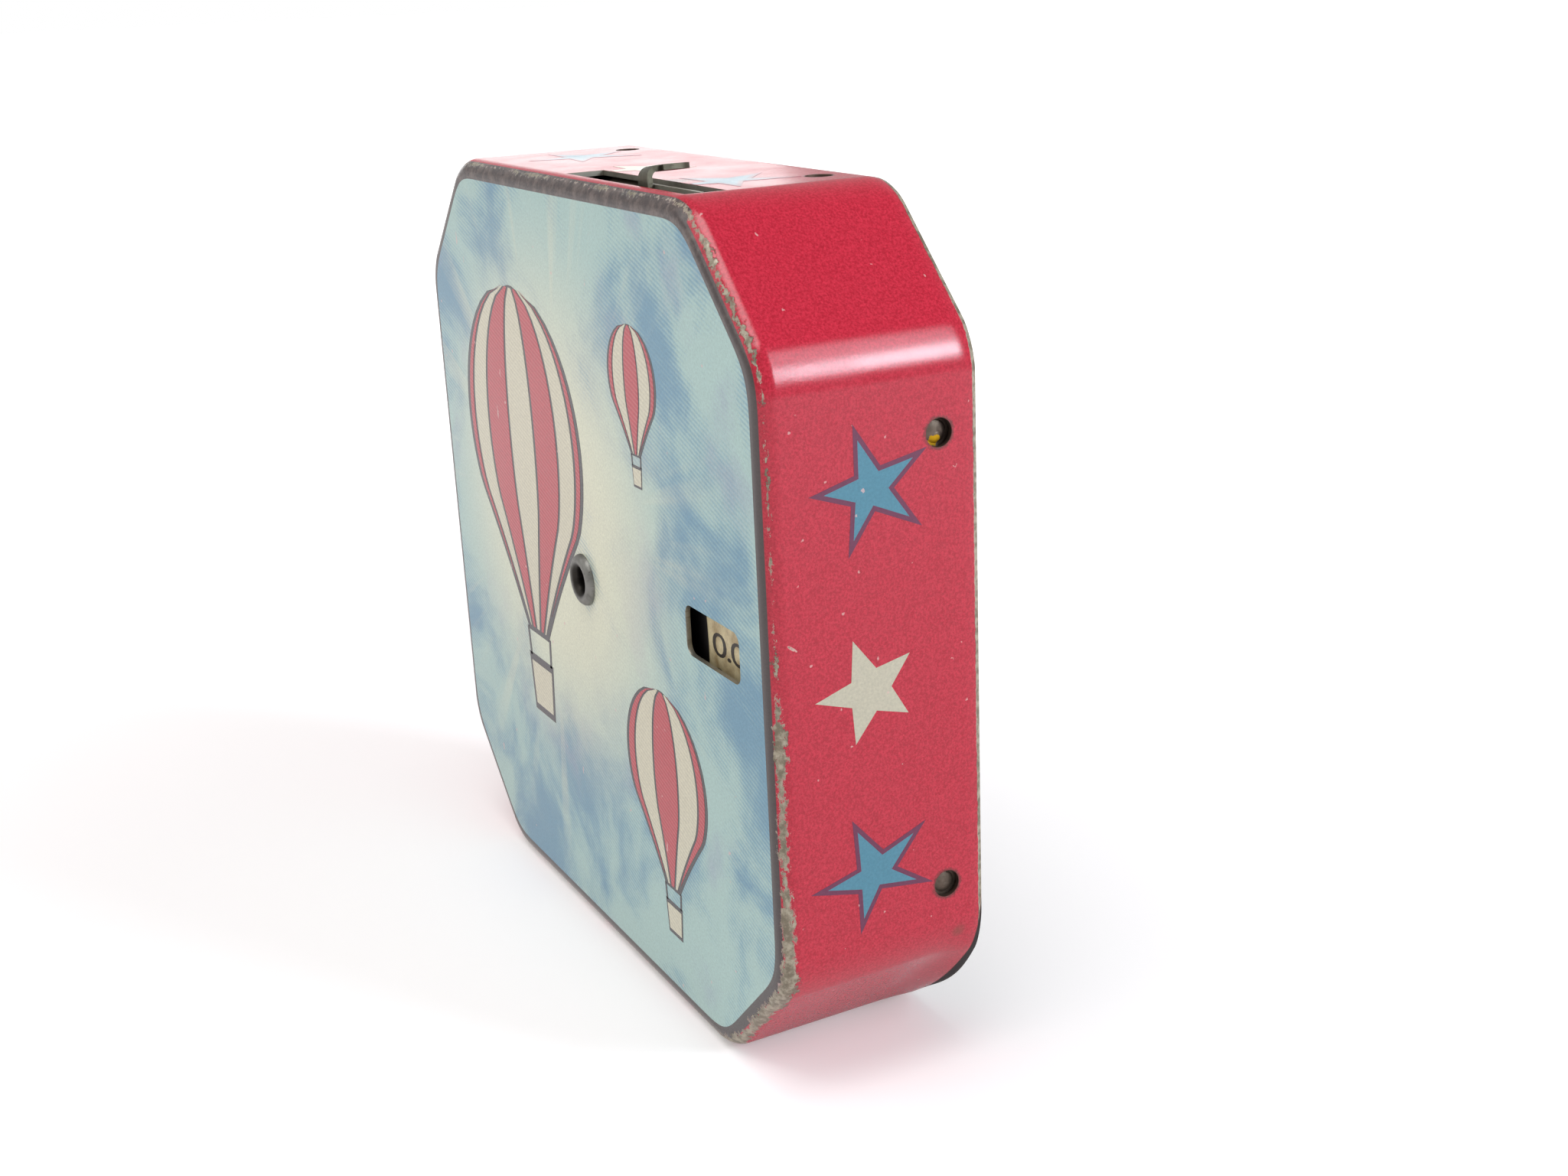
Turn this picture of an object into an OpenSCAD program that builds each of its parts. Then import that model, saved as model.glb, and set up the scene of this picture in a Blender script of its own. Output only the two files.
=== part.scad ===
// Small tin coin register bank: an eight-sided case with a counting dial behind its face,
// a lever that stands through the coin slot, and a back that lifts off when the count is full.
// Millimetres. The face looks along -Y and the bottom wall stands on Z = 0.

/* [Case] */
// Width across the two upright sides
case_w = 63.5; // [60:0.5:72]
// Height from the bottom wall to the top wall
case_h = 63; // [60:0.5:72]
// Depth from the face to the rear rim
case_d = 16.2; // [14:0.1:24]
// Leg of each cut corner, along the side
corner_leg = 9.8; // [8:0.1:12]
// Outside radius of the eight bends between the sides
corner_r = 5; // [4:0.1:7]
// Thickness of the tin sheet
sheet = 0.4; // [0.3:0.05:0.5]
// Outside radius of the bend round the face
front_r = 1.3; // [1:0.05:1.5]
// How far the rear rim curls in
rim_curl = 0.2; // [0.15:0.05:0.5]
// Length of the curled stretch of the rim
rim_len = 1.4; // [1:0.1:2]

/* [Coin slot and window] */
// Diameter of the coin
coin_d = 17.9; // [16:0.1:19]
// Thickness of the coin
coin_t = 1.35; // [1:0.05:1.8]
// Right end of the slot, from the middle of the case
slot_right = 20; // [18:0.1:21]
// Left end of the reading window, from the dial's axis
window_left = 18.8; // [17:0.1:19.5]
// Width of the reading window
window_w = 8.3; // [6:0.1:8.5]
// Lower edge of the reading window, from the dial's axis
window_low = -0.6; // [-2:0.05:0]
// Height of the reading window
window_h = 3.75; // [2.5:0.05:4]
// Corner radius of the reading window
window_r = 0.8; // [0.4:0.05:1]
// Diameter of the wall holes that the dimples snap into
hole_d = 2; // [1.8:0.05:2.4]
// Half the distance between the two wall holes of a side
hole_offset = 16.4; // [12:0.1:17.5]
// How far each pair of wall holes is shifted, downwards on the right side
hole_drop = 0.5; // [0:0.05:1]
// Wall holes, from the rear rim
hole_back = 3.05; // [2.8:0.05:3.5]

/* [Register] */
// Readings on the dial, and teeth on the ratchet
steps = 51; // [41:1:61]
// Radius of the dial
dial_r = 27.6; // [26:0.1:28]
// Gap between the face and the dial, filled by the spacer washer
dial_gap = 0.8; // [0.6:0.05:1]
// Thickness of the dial
dial_t = 0.3; // [0.2:0.05:0.4]
// Thickness of the ratchet
ratchet_t = 0.45; // [0.4:0.05:0.6]
// Height of the ratchet teeth
tooth_h = 0.8; // [0.6:0.05:1]
// Outside diameter of the hollow arbor
arbor_d = 3.2; // [2.8:0.1:4]
// Bore of the hollow arbor
arbor_bore = 2; // [1.4:0.1:2.2]
// Diameter of the arbor's rolled lip on the face
arbor_head_d = 4.2; // [4:0.1:6]
// How far the rolled lip stands out of the face
arbor_head_h = 0.55; // [0.4:0.05:0.8]
// Radius at which the trip stud rides on the dial
trip_r = 18.7; // [18.5:0.1:18.9]
// Diameter of the trip stud
trip_d = 1.2; // [1:0.1:1.4]

/* [Lever] */
// Width of the lever's neck in the slot
tab_w = 1.6; // [1.2:0.1:2]
// Width of the tab over the slot
tab_head_w = 2.4; // [2:0.1:3]
// Middle of the tab at rest, from the middle of the case
tab_rest = 11.8; // [11:0.1:13]
// Gap between the top wall and the tab
tab_rise = 0.8; // [0.6:0.05:1.2]
// How far behind the face the tab ends
tab_back = 5.6; // [5:0.1:7]
// Height of the lever's pivot above the dial's axis
pivot_up = 4.5; // [4:0.1:5]
// Diameter of the lever's pivot
pivot_d = 2.4; // [2:0.1:2.6]
// Thickness of the lever, pawls and latch
plate_t = 0.4; // [0.3:0.05:0.5]
// Wire of the springs
wire_d = 0.4; // [0.3:0.05:0.45]

/* [Back] */
// How far the cover's flange reaches into the case
cover_flange = 3; // [2:0.1:3.5]
// Gap between the cover's flange and the tray
cover_gap = 0.25; // [0.2:0.05:0.4]
// Length of the latch from its pivot to its nose
latch_arm = 14; // [13:0.1:15]
// Thickness of the strike on the cover
strike_t = 0.5; // [0.4:0.05:0.6]

/* [Hidden] */
$fn = 64;

// Clearances: running fits, fixed fits, stacked layers, gaps beside moving pieces
run_fit = 0.05;
fixed_fit = 0.02;
layer_gap = 0.1;
side_gap = 0.3;
tray_fit = 0.05;
edge_gap = 0.2;
coil_gap = 0.15;
// How far cuts run past what they cut
over = 1;

// Depths behind the face, from the front of the case to its back
dial_front = sheet + dial_gap;
dial_back = dial_front + dial_t;
ratchet_back = dial_back + ratchet_t;
pawl_front = dial_back + layer_gap;
lever_front = pawl_front + plate_t;
lever_back = lever_front + plate_t;
chute_t = 0.3;
tail_t = 0.4;
chute_front = lever_back + layer_gap;
chute_back = chute_front + chute_t;
slot_front = min(front_r, lever_front - edge_gap);
slot_back = chute_back + coin_t + edge_gap;
tray_front = slot_back + layer_gap;
tray_back = tray_front + sheet;
latch_front = tray_front - plate_t;
tail_back = tray_back + tail_t;
tray_end = case_d - rim_len - layer_gap;
cover_back = case_d - edge_gap;
cover_front = cover_back - sheet;

// Case outline: the eight bend centres, anticlockwise from the upper end of the right side
top = case_h / 2;
side = case_w / 2;
bend_x = side - corner_r;
bend_y = top - corner_r;
cut_sum = side + top - corner_leg - corner_r * sqrt(2);
low_y = cut_sum - bend_x;
low_x = cut_sum - bend_y;
bend_cuts = 6;
rim_cuts = 3;
bends = [[bend_x, low_y], [low_x, bend_y], [-low_x, bend_y], [-bend_x, low_y],
         [-bend_x, -low_y], [-low_x, -bend_y], [low_x, -bend_y], [bend_x, -low_y]];
y_front = (arbor_head_h - case_d) / 2;

// Insets of the nested pans from the outside of the case
tray_in = sheet + tray_fit;
tray_r = 1;
cover_in = tray_in + sheet + cover_gap;
cover_r = 0.8;
tray_wall = tray_in + sheet;

// Slot and lever: the coin passes left of the tab once the tab is pushed to the slot's right end
slot_play = 0.3;
coin_play = 0.5;
coin_way = coin_d + coin_play;
slot_left = slot_right - coin_way - tab_w - 2 * slot_play;
tab_end = slot_right - slot_play - tab_w / 2;
pivot = [(tab_rest + tab_end) / 2, pivot_up];
lean = atan((pivot.x - tab_rest) / (top - pivot_up));
swing = 2 * lean;
slot_reach = norm([pivot.x - tab_rest, top - pivot_up]);
tab_bend = 0.5;
tab_floor = slot_reach + tab_rise;
lever_hub_r = 3.2;
lever_root = 2.6;
lever_arm_w = 3.4;
lever_head_w = 0.7;
neck_len = 6;

// Ratchet: one push of the lever carries the pawl's nose through one step of the dial
step = 360 / steps;
reach = norm(pivot);
reach_angle = atan2(pivot.y, pivot.x);
nose_arm = reach * tan(step) / (sin(swing) + tan(step) * cos(swing));
nose_r = reach - nose_arm;
nose_gap = 0.25;
ratchet_r = nose_r - nose_gap;
pawl_pin_d = 1.6;
pawl_out = 1.8;
pawl_drop = 4.6;
pawl_pin = [nose_r + pawl_out, -pawl_drop];
pawl_hub_r = 1.5;
pawl_tail_w = 1.2;
beak_len = 1;
beak_t = 0.25;
tail_in = 0.3;
tail_len = 3.1;
pawl_lug = pawl_pin - [tail_in, tail_len];
lug_t = 0.4;
lug_w = 1.2;
lug_back = tray_front - edge_gap;
holding_turn = -step * floor(106 / step);
rivet_circle = ratchet_r * 0.58;
rivet_d = 1.2;
rivet_head_w = 0.4;
rivet_head_t = 0.25;
spacer_w = 2.4;
arbor_washer_w = 1.6;

// Latch: its nose lies on the trip stud's circle one step before zero
trip_angle = 200;
latch_pin_d = 2;
latch_hub_r = 2.6;
latch_w = 2;
latch_head_w = 0.6;
latch_out = trip_r + trip_d / 2 + side_gap;
latch_pin = trip_r * on_circle(trip_angle) + latch_arm * on_circle(trip_angle + 90);
nose_len = 1;
nose_back = 0.9;
bolt_arm = 12;
bolt_w = 3;
bolt_h = 2.4;
strike_h = 2.75;
strike_x = latch_pin.x + bolt_arm;
strike_low = cover_in + cover_r + side_gap - top;
strike_top = strike_low + strike_h;
bolt_low = strike_top + side_gap;
notch_h = 1.5;
notch_gap = 0.15;
strike_front = latch_front - 0.8;

// Springs: coils round the pivots, with one leg on a lug and one on a post of the tray
post_r = 0.6;
shoulder_w = 0.5;
lever_shoulder_r = pivot_d / 2 + shoulder_w;
stud_shoulder_r = pawl_pin_d / 2 + shoulder_w;
latch_shoulder_r = latch_pin_d / 2 + shoulder_w;
leg_over = 0.6;
wind = 2;
wind_steps = 16;

function on_circle(a) = [cos(a), sin(a)];
function turned(p, a) = [p.x * cos(a) - p.y * sin(a), p.x * sin(a) + p.y * cos(a)];
function angle_of(p) = atan2(p.y, p.x);
function coil_r(shoulder) = shoulder + wire_d / 2 + coil_gap;
// Angle at which a coil's free leg leaves, to pass a stop at p with the given gap on its left
function leg_angle(centre, p, r, gap) = angle_of(p - centre) - acos((r - gap) / norm(p - centre));
function with_depth(p, d) = [p.x, p.y, -d];

// Drawing frame: X right and Y up from the dial's axis, Z towards the viewer, the face at Z = 0
module place() {
    translate([0, y_front, top]) rotate([90, 0, 0]) children();
}

// A flat plate between two depths behind the face
module layer(from, to) {
    translate([0, 0, -to]) linear_extrude(to - from) children();
}

// A round post between two depths behind the face
module post(p, from, to, r) {
    translate([p.x, p.y, -to]) cylinder(h = to - from, r = r);
}

// A profile of depth and height, drawn out along X about a middle
module along_x(middle, width) {
    translate([middle, 0, 0]) rotate([0, -90, 0]) linear_extrude(width, center = true) children();
}

module ring(outer, inner) {
    difference() {
        circle(outer);
        circle(inner);
    }
}

// A straight strip from p to q
module strip(p, q, w) {
    translate(p) rotate(angle_of(q - p)) translate([0, -w / 2]) square([norm(q - p), w]);
}

// Points of the case's outline at a depth, moved in from the outside
function outline(inset, depth) = [for (i = [0:7]) for (k = [0:bend_cuts])
    with_depth(bends[i] + (corner_r - inset) * on_circle(45 * (i + k / bend_cuts)), depth)];

// Stations [inset, depth] along an arc round a centre
function arc(centre, r, from, to, cuts) =
    [for (k = [0:cuts]) centre + r * on_circle(from + (to - from) * k / cuts)];

// A ring round the case: a closed skin over a loop of stations [inset, depth]
module ring_round(stations) {
    size = 8 * (bend_cuts + 1);
    n = len(stations);
    faces = [for (j = [0:n - 1]) for (k = [0:size - 1])
        let (a = j * size, b = (j + 1) % n * size, next = (k + 1) % size) [a + k, b + k, b + next, a + next]];
    polyhedron([for (s = stations) each outline(s.x, s.y)], faces);
}

// A block with the case's outline between two depths, its front edge rounded
module block(inset, front, back, r) {
    edge = arc([inset + r, front + r], r, 270, 180, bend_cuts);
    difference() {
        layer(front, back) polygon([for (p = outline(inset, 0)) [p.x, p.y]]);
        ring_round(concat([[inset - over, front - over], [inset + r, front - over]], edge,
                          [[inset - over, front + r]]));
    }
}

// A drawn pan of sheet metal, open to the rear
module pan(inset, front, back, r) {
    difference() {
        block(inset, front, back, r);
        block(inset + sheet, front + sheet, back + over, r - sheet);
    }
}

// Every wall hole, with its axis along Z and its outer end at the wall's outside
module at_wall_holes() {
    for (s = [-1, 1]) for (a = [0, 90, 180, 270]) {
        out = a % 180 == 0 ? side : top;
        up = s * hole_offset - hole_drop;
        rotate(a) translate([out, up, hole_back - case_d]) rotate([0, 90, 0]) children();
    }
}

// Points of a rectangle from its lower left corner, with round corners
function round_rect(corner, w, h, r) = [for (i = [0:3]) for (k = [0:bend_cuts])
    corner + [i == 0 || i == 3 ? w - r : r, i < 2 ? h - r : r] + r * on_circle(90 * (i + k / bend_cuts))];

// What lies outside the rear rim, which curls in on a wide arc
rim_r = (rim_len * rim_len + rim_curl * rim_curl) / (2 * rim_curl);
module beyond_rim(t) {
    edge = arc([rim_r, case_d - rim_len], rim_r - t, 180, 180 - asin(rim_len / (rim_r - t)), rim_cuts);
    far = case_d + 2 * over;
    ring_round(concat([[t - over, case_d - rim_len]], edge, [[edge[rim_cuts].x, far], [t - over, far]]));
}

module front_shell() {
    color("firebrick") place() difference() {
        block(0, 0, case_d, front_r);
        beyond_rim(0);
        difference() {
            block(sheet, sheet, case_d + over, front_r - sheet);
            beyond_rim(sheet);
        }
        layer(-over, front_r) polygon(round_rect([window_left, window_low], window_w, window_h, window_r));
        post([0, 0], -over, front_r, arbor_d / 2 + fixed_fit);
        translate([slot_left, top - front_r, -slot_back])
            cube([slot_right - slot_left, 2 * front_r, slot_back - slot_front]);
        at_wall_holes() cylinder(h = 4 * sheet, d = hole_d, center = true);
    }
}

// Pressed dimples: domes of even thickness that stand in the wall holes
dimple_r = hole_d / 2 - edge_gap;
dimple_h = sheet / 2;
dome_r = (dimple_r * dimple_r + dimple_h * dimple_h) / (2 * dimple_h);

module dimple_dome(r, floor) {
    translate([0, 0, dimple_h - dome_r - tray_in]) intersection() {
        sphere(r);
        translate([0, 0, dome_r - dimple_h - floor + r]) cube(2 * r, center = true);
    }
}

module coin_aperture() {
    low = chute_low + chute_foot;
    translate([slot_left, low]) square([coin_way, top - tray_in - tray_r - low]);
}

module mechanism_tray() {
    color("darkgray") place() difference() {
        union() {
            pan(tray_in, tray_front, tray_end, tray_r);
            at_wall_holes() dimple_dome(dome_r, sheet / 2);
        }
        at_wall_holes() dimple_dome(dome_r - sheet, 2 * sheet);
        layer(tray_front - over, tray_back + over) {
            coin_aperture();
            translate([strike_x - strike_t / 2 - side_gap, strike_low - side_gap])
                square([strike_t + 2 * side_gap, strike_top - strike_low + 2 * side_gap]);
        }
        post(pivot, tray_front - over, tray_back + over, pivot_d / 2 + fixed_fit);
        post(holding_pin, tray_front - over, tray_back + over, pawl_pin_d / 2 + fixed_fit);
        post(latch_pin, tray_front - over, tray_back + over, latch_pin_d / 2 + fixed_fit);
        for (p = spring_stops) post(p, tray_front - over, tray_back + over, post_r + fixed_fit);
    }
}

module back_cover() {
    color("silver") place() translate([0, 0, -cover_back]) mirror([0, 0, 1])
        pan(cover_in, 0, cover_flange, cover_r);
}

// Angle strip on the cover: a foot on the inside of the cover and a notched leg through the tray
module cover_strike() {
    foot = 5;
    bend = 0.4;
    leg_end = cover_front - strike_t - bend;
    x0 = strike_x - strike_t / 2;
    color("silver") place() difference() {
        translate([0, strike_top, 0]) rotate([90, 0, 0]) linear_extrude(strike_top - strike_low) {
            translate([x0, -leg_end]) square([strike_t, leg_end - strike_front]);
            translate([x0 + strike_t + bend, -leg_end]) intersection() {
                ring(strike_t + bend, bend);
                translate([-strike_t - bend, -strike_t - bend]) square(strike_t + bend);
            }
            translate([x0 + strike_t + bend, -cover_front]) square([foot, strike_t]);
        }
        translate([x0 - over, strike_top - notch_h, -tray_front - notch_gap])
            cube([strike_t + 2 * over, notch_h + over, plate_t + 2 * notch_gap]);
    }
}

// Bowed leaf on the tray's lower wall that pushes the cover out
module kick_spring() {
    leaf_t = 0.3;
    leaf_w = 5;
    leaf_x = 14;
    bow_r = 1.45;
    foot = 3;
    bow_end = cover_back - cover_flange - layer_gap;
    wall = tray_wall - top;
    color("lightsteelblue") place() along_x(leaf_x, leaf_w) {
        translate([bow_r - bow_end, wall + leaf_t]) intersection() {
            ring(bow_r, bow_r - leaf_t);
            translate([-bow_r, 0]) square([2 * bow_r, bow_r]);
        }
        translate([2 * bow_r - leaf_t - bow_end, wall]) square([foot, leaf_t]);
    }
}

// Chute: an upright front wall with a lip in the slot, a slope to the rear and a foot on the tray
chute_low = 6.9;
chute_foot = 2.1;
chute_slope = 10;

module coin_chute() {
    chute_top = top - sheet - edge_gap;
    chute_right = slot_right - edge_gap;
    foot_top = chute_low + chute_foot;
    slope_top = foot_top + chute_slope;
    color("gainsboro") place() difference() {
        along_x((slot_left + chute_right) / 2, chute_right - slot_left)
            polygon([[-chute_front, top], [-chute_front, slope_top], [chute_t - tray_front, foot_top],
                     [chute_t - tray_front, chute_low], [-tray_front, chute_low], [-tray_front, foot_top],
                     [-chute_back, slope_top], [-chute_back, top]]);
        translate([slot_left - over, chute_top, -tray_front])
            cube([tab_rest - slot_left + over, top, tray_front]);
    }
}

// Hollow arbor: a rolled lip on the face, a barrel, and a flange behind the washer
arbor_washer_t = 0.3;
arbor_flange_t = 0.35;
arbor_flange_w = 0.9;

module dial_arbor() {
    r = arbor_d / 2;
    bore = arbor_bore / 2;
    lip = arbor_head_d / 2 - bore;
    lip_r = (lip * lip / 4 + arbor_head_h * arbor_head_h) / (2 * arbor_head_h);
    flange_back = ratchet_back + arbor_washer_t + arbor_flange_t;
    color("dimgray") place() rotate_extrude() {
        intersection() {
            translate([bore + lip / 2, arbor_head_h - lip_r]) circle(lip_r);
            translate([bore, 0]) square([lip, arbor_head_h]);
        }
        translate([bore, -flange_back]) square([r - bore, flange_back]);
        translate([bore, -flange_back]) square([r - bore + arbor_flange_w, arbor_flange_t]);
    }
}

module spacer_washer() {
    color("silver") place() layer(sheet, dial_front) ring(arbor_d / 2 + spacer_w, arbor_d / 2 + run_fit);
}

module arbor_washer() {
    color("silver") place() layer(ratchet_back, ratchet_back + arbor_washer_t)
        ring(arbor_d / 2 + arbor_washer_w, arbor_d / 2 + run_fit);
}

// Places of the three rivets that join the dial and the ratchet
module at_dial_rivets() {
    for (a = [90, 210, 330]) rotate(a) translate([rivet_circle, 0]) children();
}

module register_dial() {
    color("beige") place() layer(dial_front, dial_back) difference() {
        circle(dial_r);
        circle(arbor_d / 2 + run_fit);
        at_dial_rivets() circle(rivet_d / 2 + fixed_fit);
        translate(trip_r * on_circle(trip_angle + step)) circle(trip_d / 2 + fixed_fit);
    }
}

// Saw teeth: each rises on a steep face and falls over one step
module ratchet_wheel() {
    root = ratchet_r - tooth_h;
    lead = step * 0.08;
    color("lightgray") place() layer(dial_back, ratchet_back) difference() {
        rotate(reach_angle) polygon([for (i = [0:steps - 1])
            for (p = [[root, 0], [ratchet_r, lead]]) p.x * on_circle(i * step + p.y)]);
        circle(arbor_d / 2 + run_fit);
        at_dial_rivets() circle(rivet_d / 2 + fixed_fit);
    }
}

module dial_rivets() {
    head_r = rivet_d / 2 + rivet_head_w;
    color("gray") place() at_dial_rivets() {
        post([0, 0], dial_front - rivet_head_t, dial_front, head_r);
        post([0, 0], dial_front, ratchet_back, rivet_d / 2);
        post([0, 0], ratchet_back, ratchet_back + rivet_head_t, head_r);
    }
}

module trip_stud() {
    color("gray") place()
        post(trip_r * on_circle(trip_angle + step), dial_front, lever_front - layer_gap, trip_d / 2);
}

// Places in the drawing frame of what is drawn on the line from the dial's axis to the lever's pivot
drive_pin = turned(pawl_pin, reach_angle);
drive_lug = turned(pawl_lug, reach_angle);
holding_line = reach_angle + holding_turn;
holding_pin = turned(pawl_pin, holding_line);
holding_lug = turned(pawl_lug, holding_line);

// Lever: a tapering arm with a neck through the slot, a tab bent back over it, and an arm for the pawl
module coin_lever() {
    neck_from = slot_reach - neck_len;
    tab_rear = lever_back + tab_bend;
    tab_mid = tab_back - tab_head_w / 2;
    color("silver") place() difference() {
        union() {
            layer(lever_front, lever_back) {
                translate(pivot) circle(lever_hub_r);
                strip(pivot, drive_pin, lever_arm_w);
                translate(drive_pin) circle(lever_arm_w / 2);
                translate(pivot) rotate(lean) {
                    polygon([[-lever_root, 0], [lever_root, 0],
                             [tab_w / 2, neck_from], [-tab_w / 2, neck_from]]);
                    translate([-tab_w / 2, neck_from]) square([tab_w, tab_floor - tab_bend - neck_from]);
                }
            }
            translate(pivot) rotate(lean) {
                along_x(0, tab_w) {
                    translate([-tab_rear, tab_floor - tab_bend]) intersection() {
                        ring(tab_bend + plate_t, tab_bend);
                        square(tab_bend + plate_t);
                    }
                    translate([-tab_mid, tab_floor]) square([tab_mid - tab_rear, plate_t]);
                }
                translate([0, tab_floor + plate_t, -tab_mid]) rotate([90, 0, 0]) linear_extrude(plate_t) {
                    circle(d = tab_head_w);
                    translate([-tab_head_w / 2, 0]) square([tab_head_w, tab_mid - tab_rear - tab_bend / 2]);
                }
            }
        }
        post(pivot, lever_front - over, lever_back + over, pivot_d / 2 + run_fit);
        post(drive_pin, lever_front - over, lever_back + over, pawl_pin_d / 2 + fixed_fit);
    }
}

module lever_rivet() {
    r = pivot_d / 2;
    color("gray") place() {
        post(pivot, pawl_front, lever_front, r + lever_head_w);
        post(pivot, lever_front, lever_back + run_fit, r);
        post(pivot, lever_back + run_fit, tray_front, lever_shoulder_r);
        post(pivot, tray_front, tray_back, r);
        post(pivot, tray_back, tail_back, r + lever_head_w);
    }
}

// A pawl on a line from the dial's axis: beak, hub, and a tail with a lug bent along a spring's leg
module pawl(line, leg) {
    difference() {
        union() {
            layer(pawl_front, lever_front) {
                translate(pawl_pin) circle(pawl_hub_r);
                polygon([[nose_r, 0], [nose_r + beak_len, beak_t],
                         pawl_pin + pawl_hub_r * on_circle(15), pawl_pin + pawl_hub_r * on_circle(195),
                         [nose_r + 0.95 * beak_len, -1.6 * beak_len],
                         [nose_r + 0.65 * beak_len, -3 * beak_t]]);
                strip(pawl_pin, pawl_lug, pawl_tail_w);
            }
            layer(pawl_front, lug_back)
                translate(pawl_lug) rotate(leg - line) square([lug_t, lug_w], center = true);
        }
        post(pawl_pin, pawl_front - over, lever_front + over, pawl_pin_d / 2 + run_fit);
    }
}

module drive_pawl() {
    color("lightsteelblue") place() rotate(reach_angle) pawl(reach_angle, lever_leg);
}

module pawl_stud() {
    color("gray") place() {
        post(drive_pin, pawl_front, lever_back, pawl_pin_d / 2);
        post(drive_pin, lever_back, lever_back + tail_t, stud_shoulder_r);
    }
}

module holding_pawl() {
    color("lightsteelblue") place() rotate(holding_line) pawl(holding_line, holding_leg);
}

module holding_stud() {
    r = pawl_pin_d / 2;
    color("gray") place() {
        post(holding_pin, pawl_front, lever_front + run_fit, r);
        post(holding_pin, lever_front + run_fit, tray_front, stud_shoulder_r);
        post(holding_pin, tray_front, tray_back, r);
        post(holding_pin, tray_back, tail_back, stud_shoulder_r);
    }
}

// Latch: an arm to the nose that the trip stud pushes, and an arm to the bolt over the strike
module latch_lever() {
    nose_mid = (latch_out + nose_len + nose_back / 2) * on_circle(trip_angle);
    bolt = [strike_x, bolt_low + bolt_h / 2];
    color("silver") place() difference() {
        union() {
            layer(latch_front, tray_front) {
                translate(latch_pin) circle(latch_hub_r);
                strip(latch_pin, nose_mid, latch_w);
                strip(latch_pin, bolt, latch_w);
                translate([strike_x - bolt_w / 2, bolt_low]) square([bolt_w, bolt_h]);
            }
            layer(pawl_front, tray_front) rotate(trip_angle) polygon([[latch_out, 0],
                [latch_out + nose_len, -nose_len], [latch_out + nose_len + nose_back, -nose_len],
                [latch_out + nose_len + nose_back, nose_len], [latch_out + nose_len, nose_len]]);
        }
        post(latch_pin, latch_front - over, tray_front + over, latch_pin_d / 2 + run_fit);
    }
}

module latch_rivet() {
    r = latch_pin_d / 2;
    color("gray") place() {
        post(latch_pin, lever_back + edge_gap, latch_front - run_fit, latch_shoulder_r);
        post(latch_pin, latch_front - run_fit, tray_back, r);
        post(latch_pin, tray_back, tail_back, r + latch_head_w);
    }
}

// Torsion springs: where the legs leave each coil, and the posts that stop the fixed legs
lever_coil_r = coil_r(lever_shoulder_r);
stud_coil_r = coil_r(stud_shoulder_r);
latch_coil_r = coil_r(latch_shoulder_r);
lug_touch = lug_t / 2 + wire_d / 2 + run_fit;
latch_touch = latch_out + nose_len + nose_back + wire_d / 2 + run_fit;
latch_stop = latch_touch * on_circle(trip_angle) + nose_len * on_circle(trip_angle + 90);
lever_leg = leg_angle(pivot, drive_lug, lever_coil_r, lug_touch);
holding_leg = leg_angle(holding_pin, holding_lug, stud_coil_r, lug_touch);
latch_leg = leg_angle(latch_pin, latch_stop, latch_coil_r, 0);
fixed_leg = 5;
post_in = 1;
leg_lag = 100;
post_touch = post_r + wire_d / 2 + run_fit;
spring_stops = [stop_post(pivot, lever_coil_r, lever_leg - leg_lag),
                stop_post(holding_pin, stud_coil_r, holding_leg - leg_lag),
                stop_post(latch_pin, latch_coil_r, latch_leg - leg_lag)];

// Post inside the fixed leg, which runs backwards from the coil's start
function stop_post(centre, r, a) =
    centre + (r - post_touch) * on_circle(a) - (fixed_leg - post_in) * on_circle(a + 90);

// Centre line of a torsion spring: fixed leg, coil, free leg
function spring_line(centre, r, leg, free_leg, d0, d1) =
    let (first = leg - leg_lag - 360 * wind, turn = leg - first, n = wind_steps * wind + 4)
    concat([with_depth(centre + r * on_circle(first) - fixed_leg * on_circle(first + 90), d0)],
           [for (i = [0:n]) with_depth(centre + r * on_circle(first + turn * i / n), d0 + (d1 - d0) * i / n)],
           [with_depth(centre + r * on_circle(leg) + free_leg * on_circle(leg + 90), d1)]);

// A round wire along a line of points that never runs straight towards the viewer
module wire(line) {
    sides = 6;
    n = len(line);
    rings = [for (i = [0:n - 1])
        let (t = line[min(i + 1, n - 1)] - line[max(i - 1, 0)],
             u = cross([0, 0, 1], t) / norm(cross([0, 0, 1], t)),
             v = cross(t, u) / norm(t))
        for (k = [0:sides - 1]) line[i] + wire_d / 2 * (cos(360 * k / sides) * u + sin(360 * k / sides) * v)];
    quads = [for (i = [0:n - 2]) for (k = [0:sides - 1])
        let (a = i * sides + k, b = i * sides + (k + 1) % sides)
        for (f = [[a, a + sides, b], [b, a + sides, b + sides]]) f];
    caps = [for (k = [1:sides - 2]) for (f = [[0, k, k + 1],
            [(n - 1) * sides, (n - 1) * sides + k + 1, (n - 1) * sides + k]]) f];
    polyhedron(rings, concat(quads, caps));
}

module lever_spring() {
    free = norm(drive_lug - pivot) + leg_over;
    color("lightsteelblue") place() wire(spring_line(pivot, lever_coil_r, lever_leg, free,
        lever_back + wire_d, lug_back - wire_d / 2));
}

module holding_spring() {
    free = norm(holding_lug - holding_pin) + leg_over;
    color("lightsteelblue") place() wire(spring_line(holding_pin, stud_coil_r, holding_leg, free,
        lever_front + wire_d, lug_back - wire_d / 2));
}

module latch_spring() {
    free = norm(latch_stop - latch_pin) + 2 * nose_len;
    color("lightsteelblue") place() wire(spring_line(latch_pin, latch_coil_r, latch_leg, free,
        lever_back + wire_d, latch_front - wire_d));
}

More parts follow.
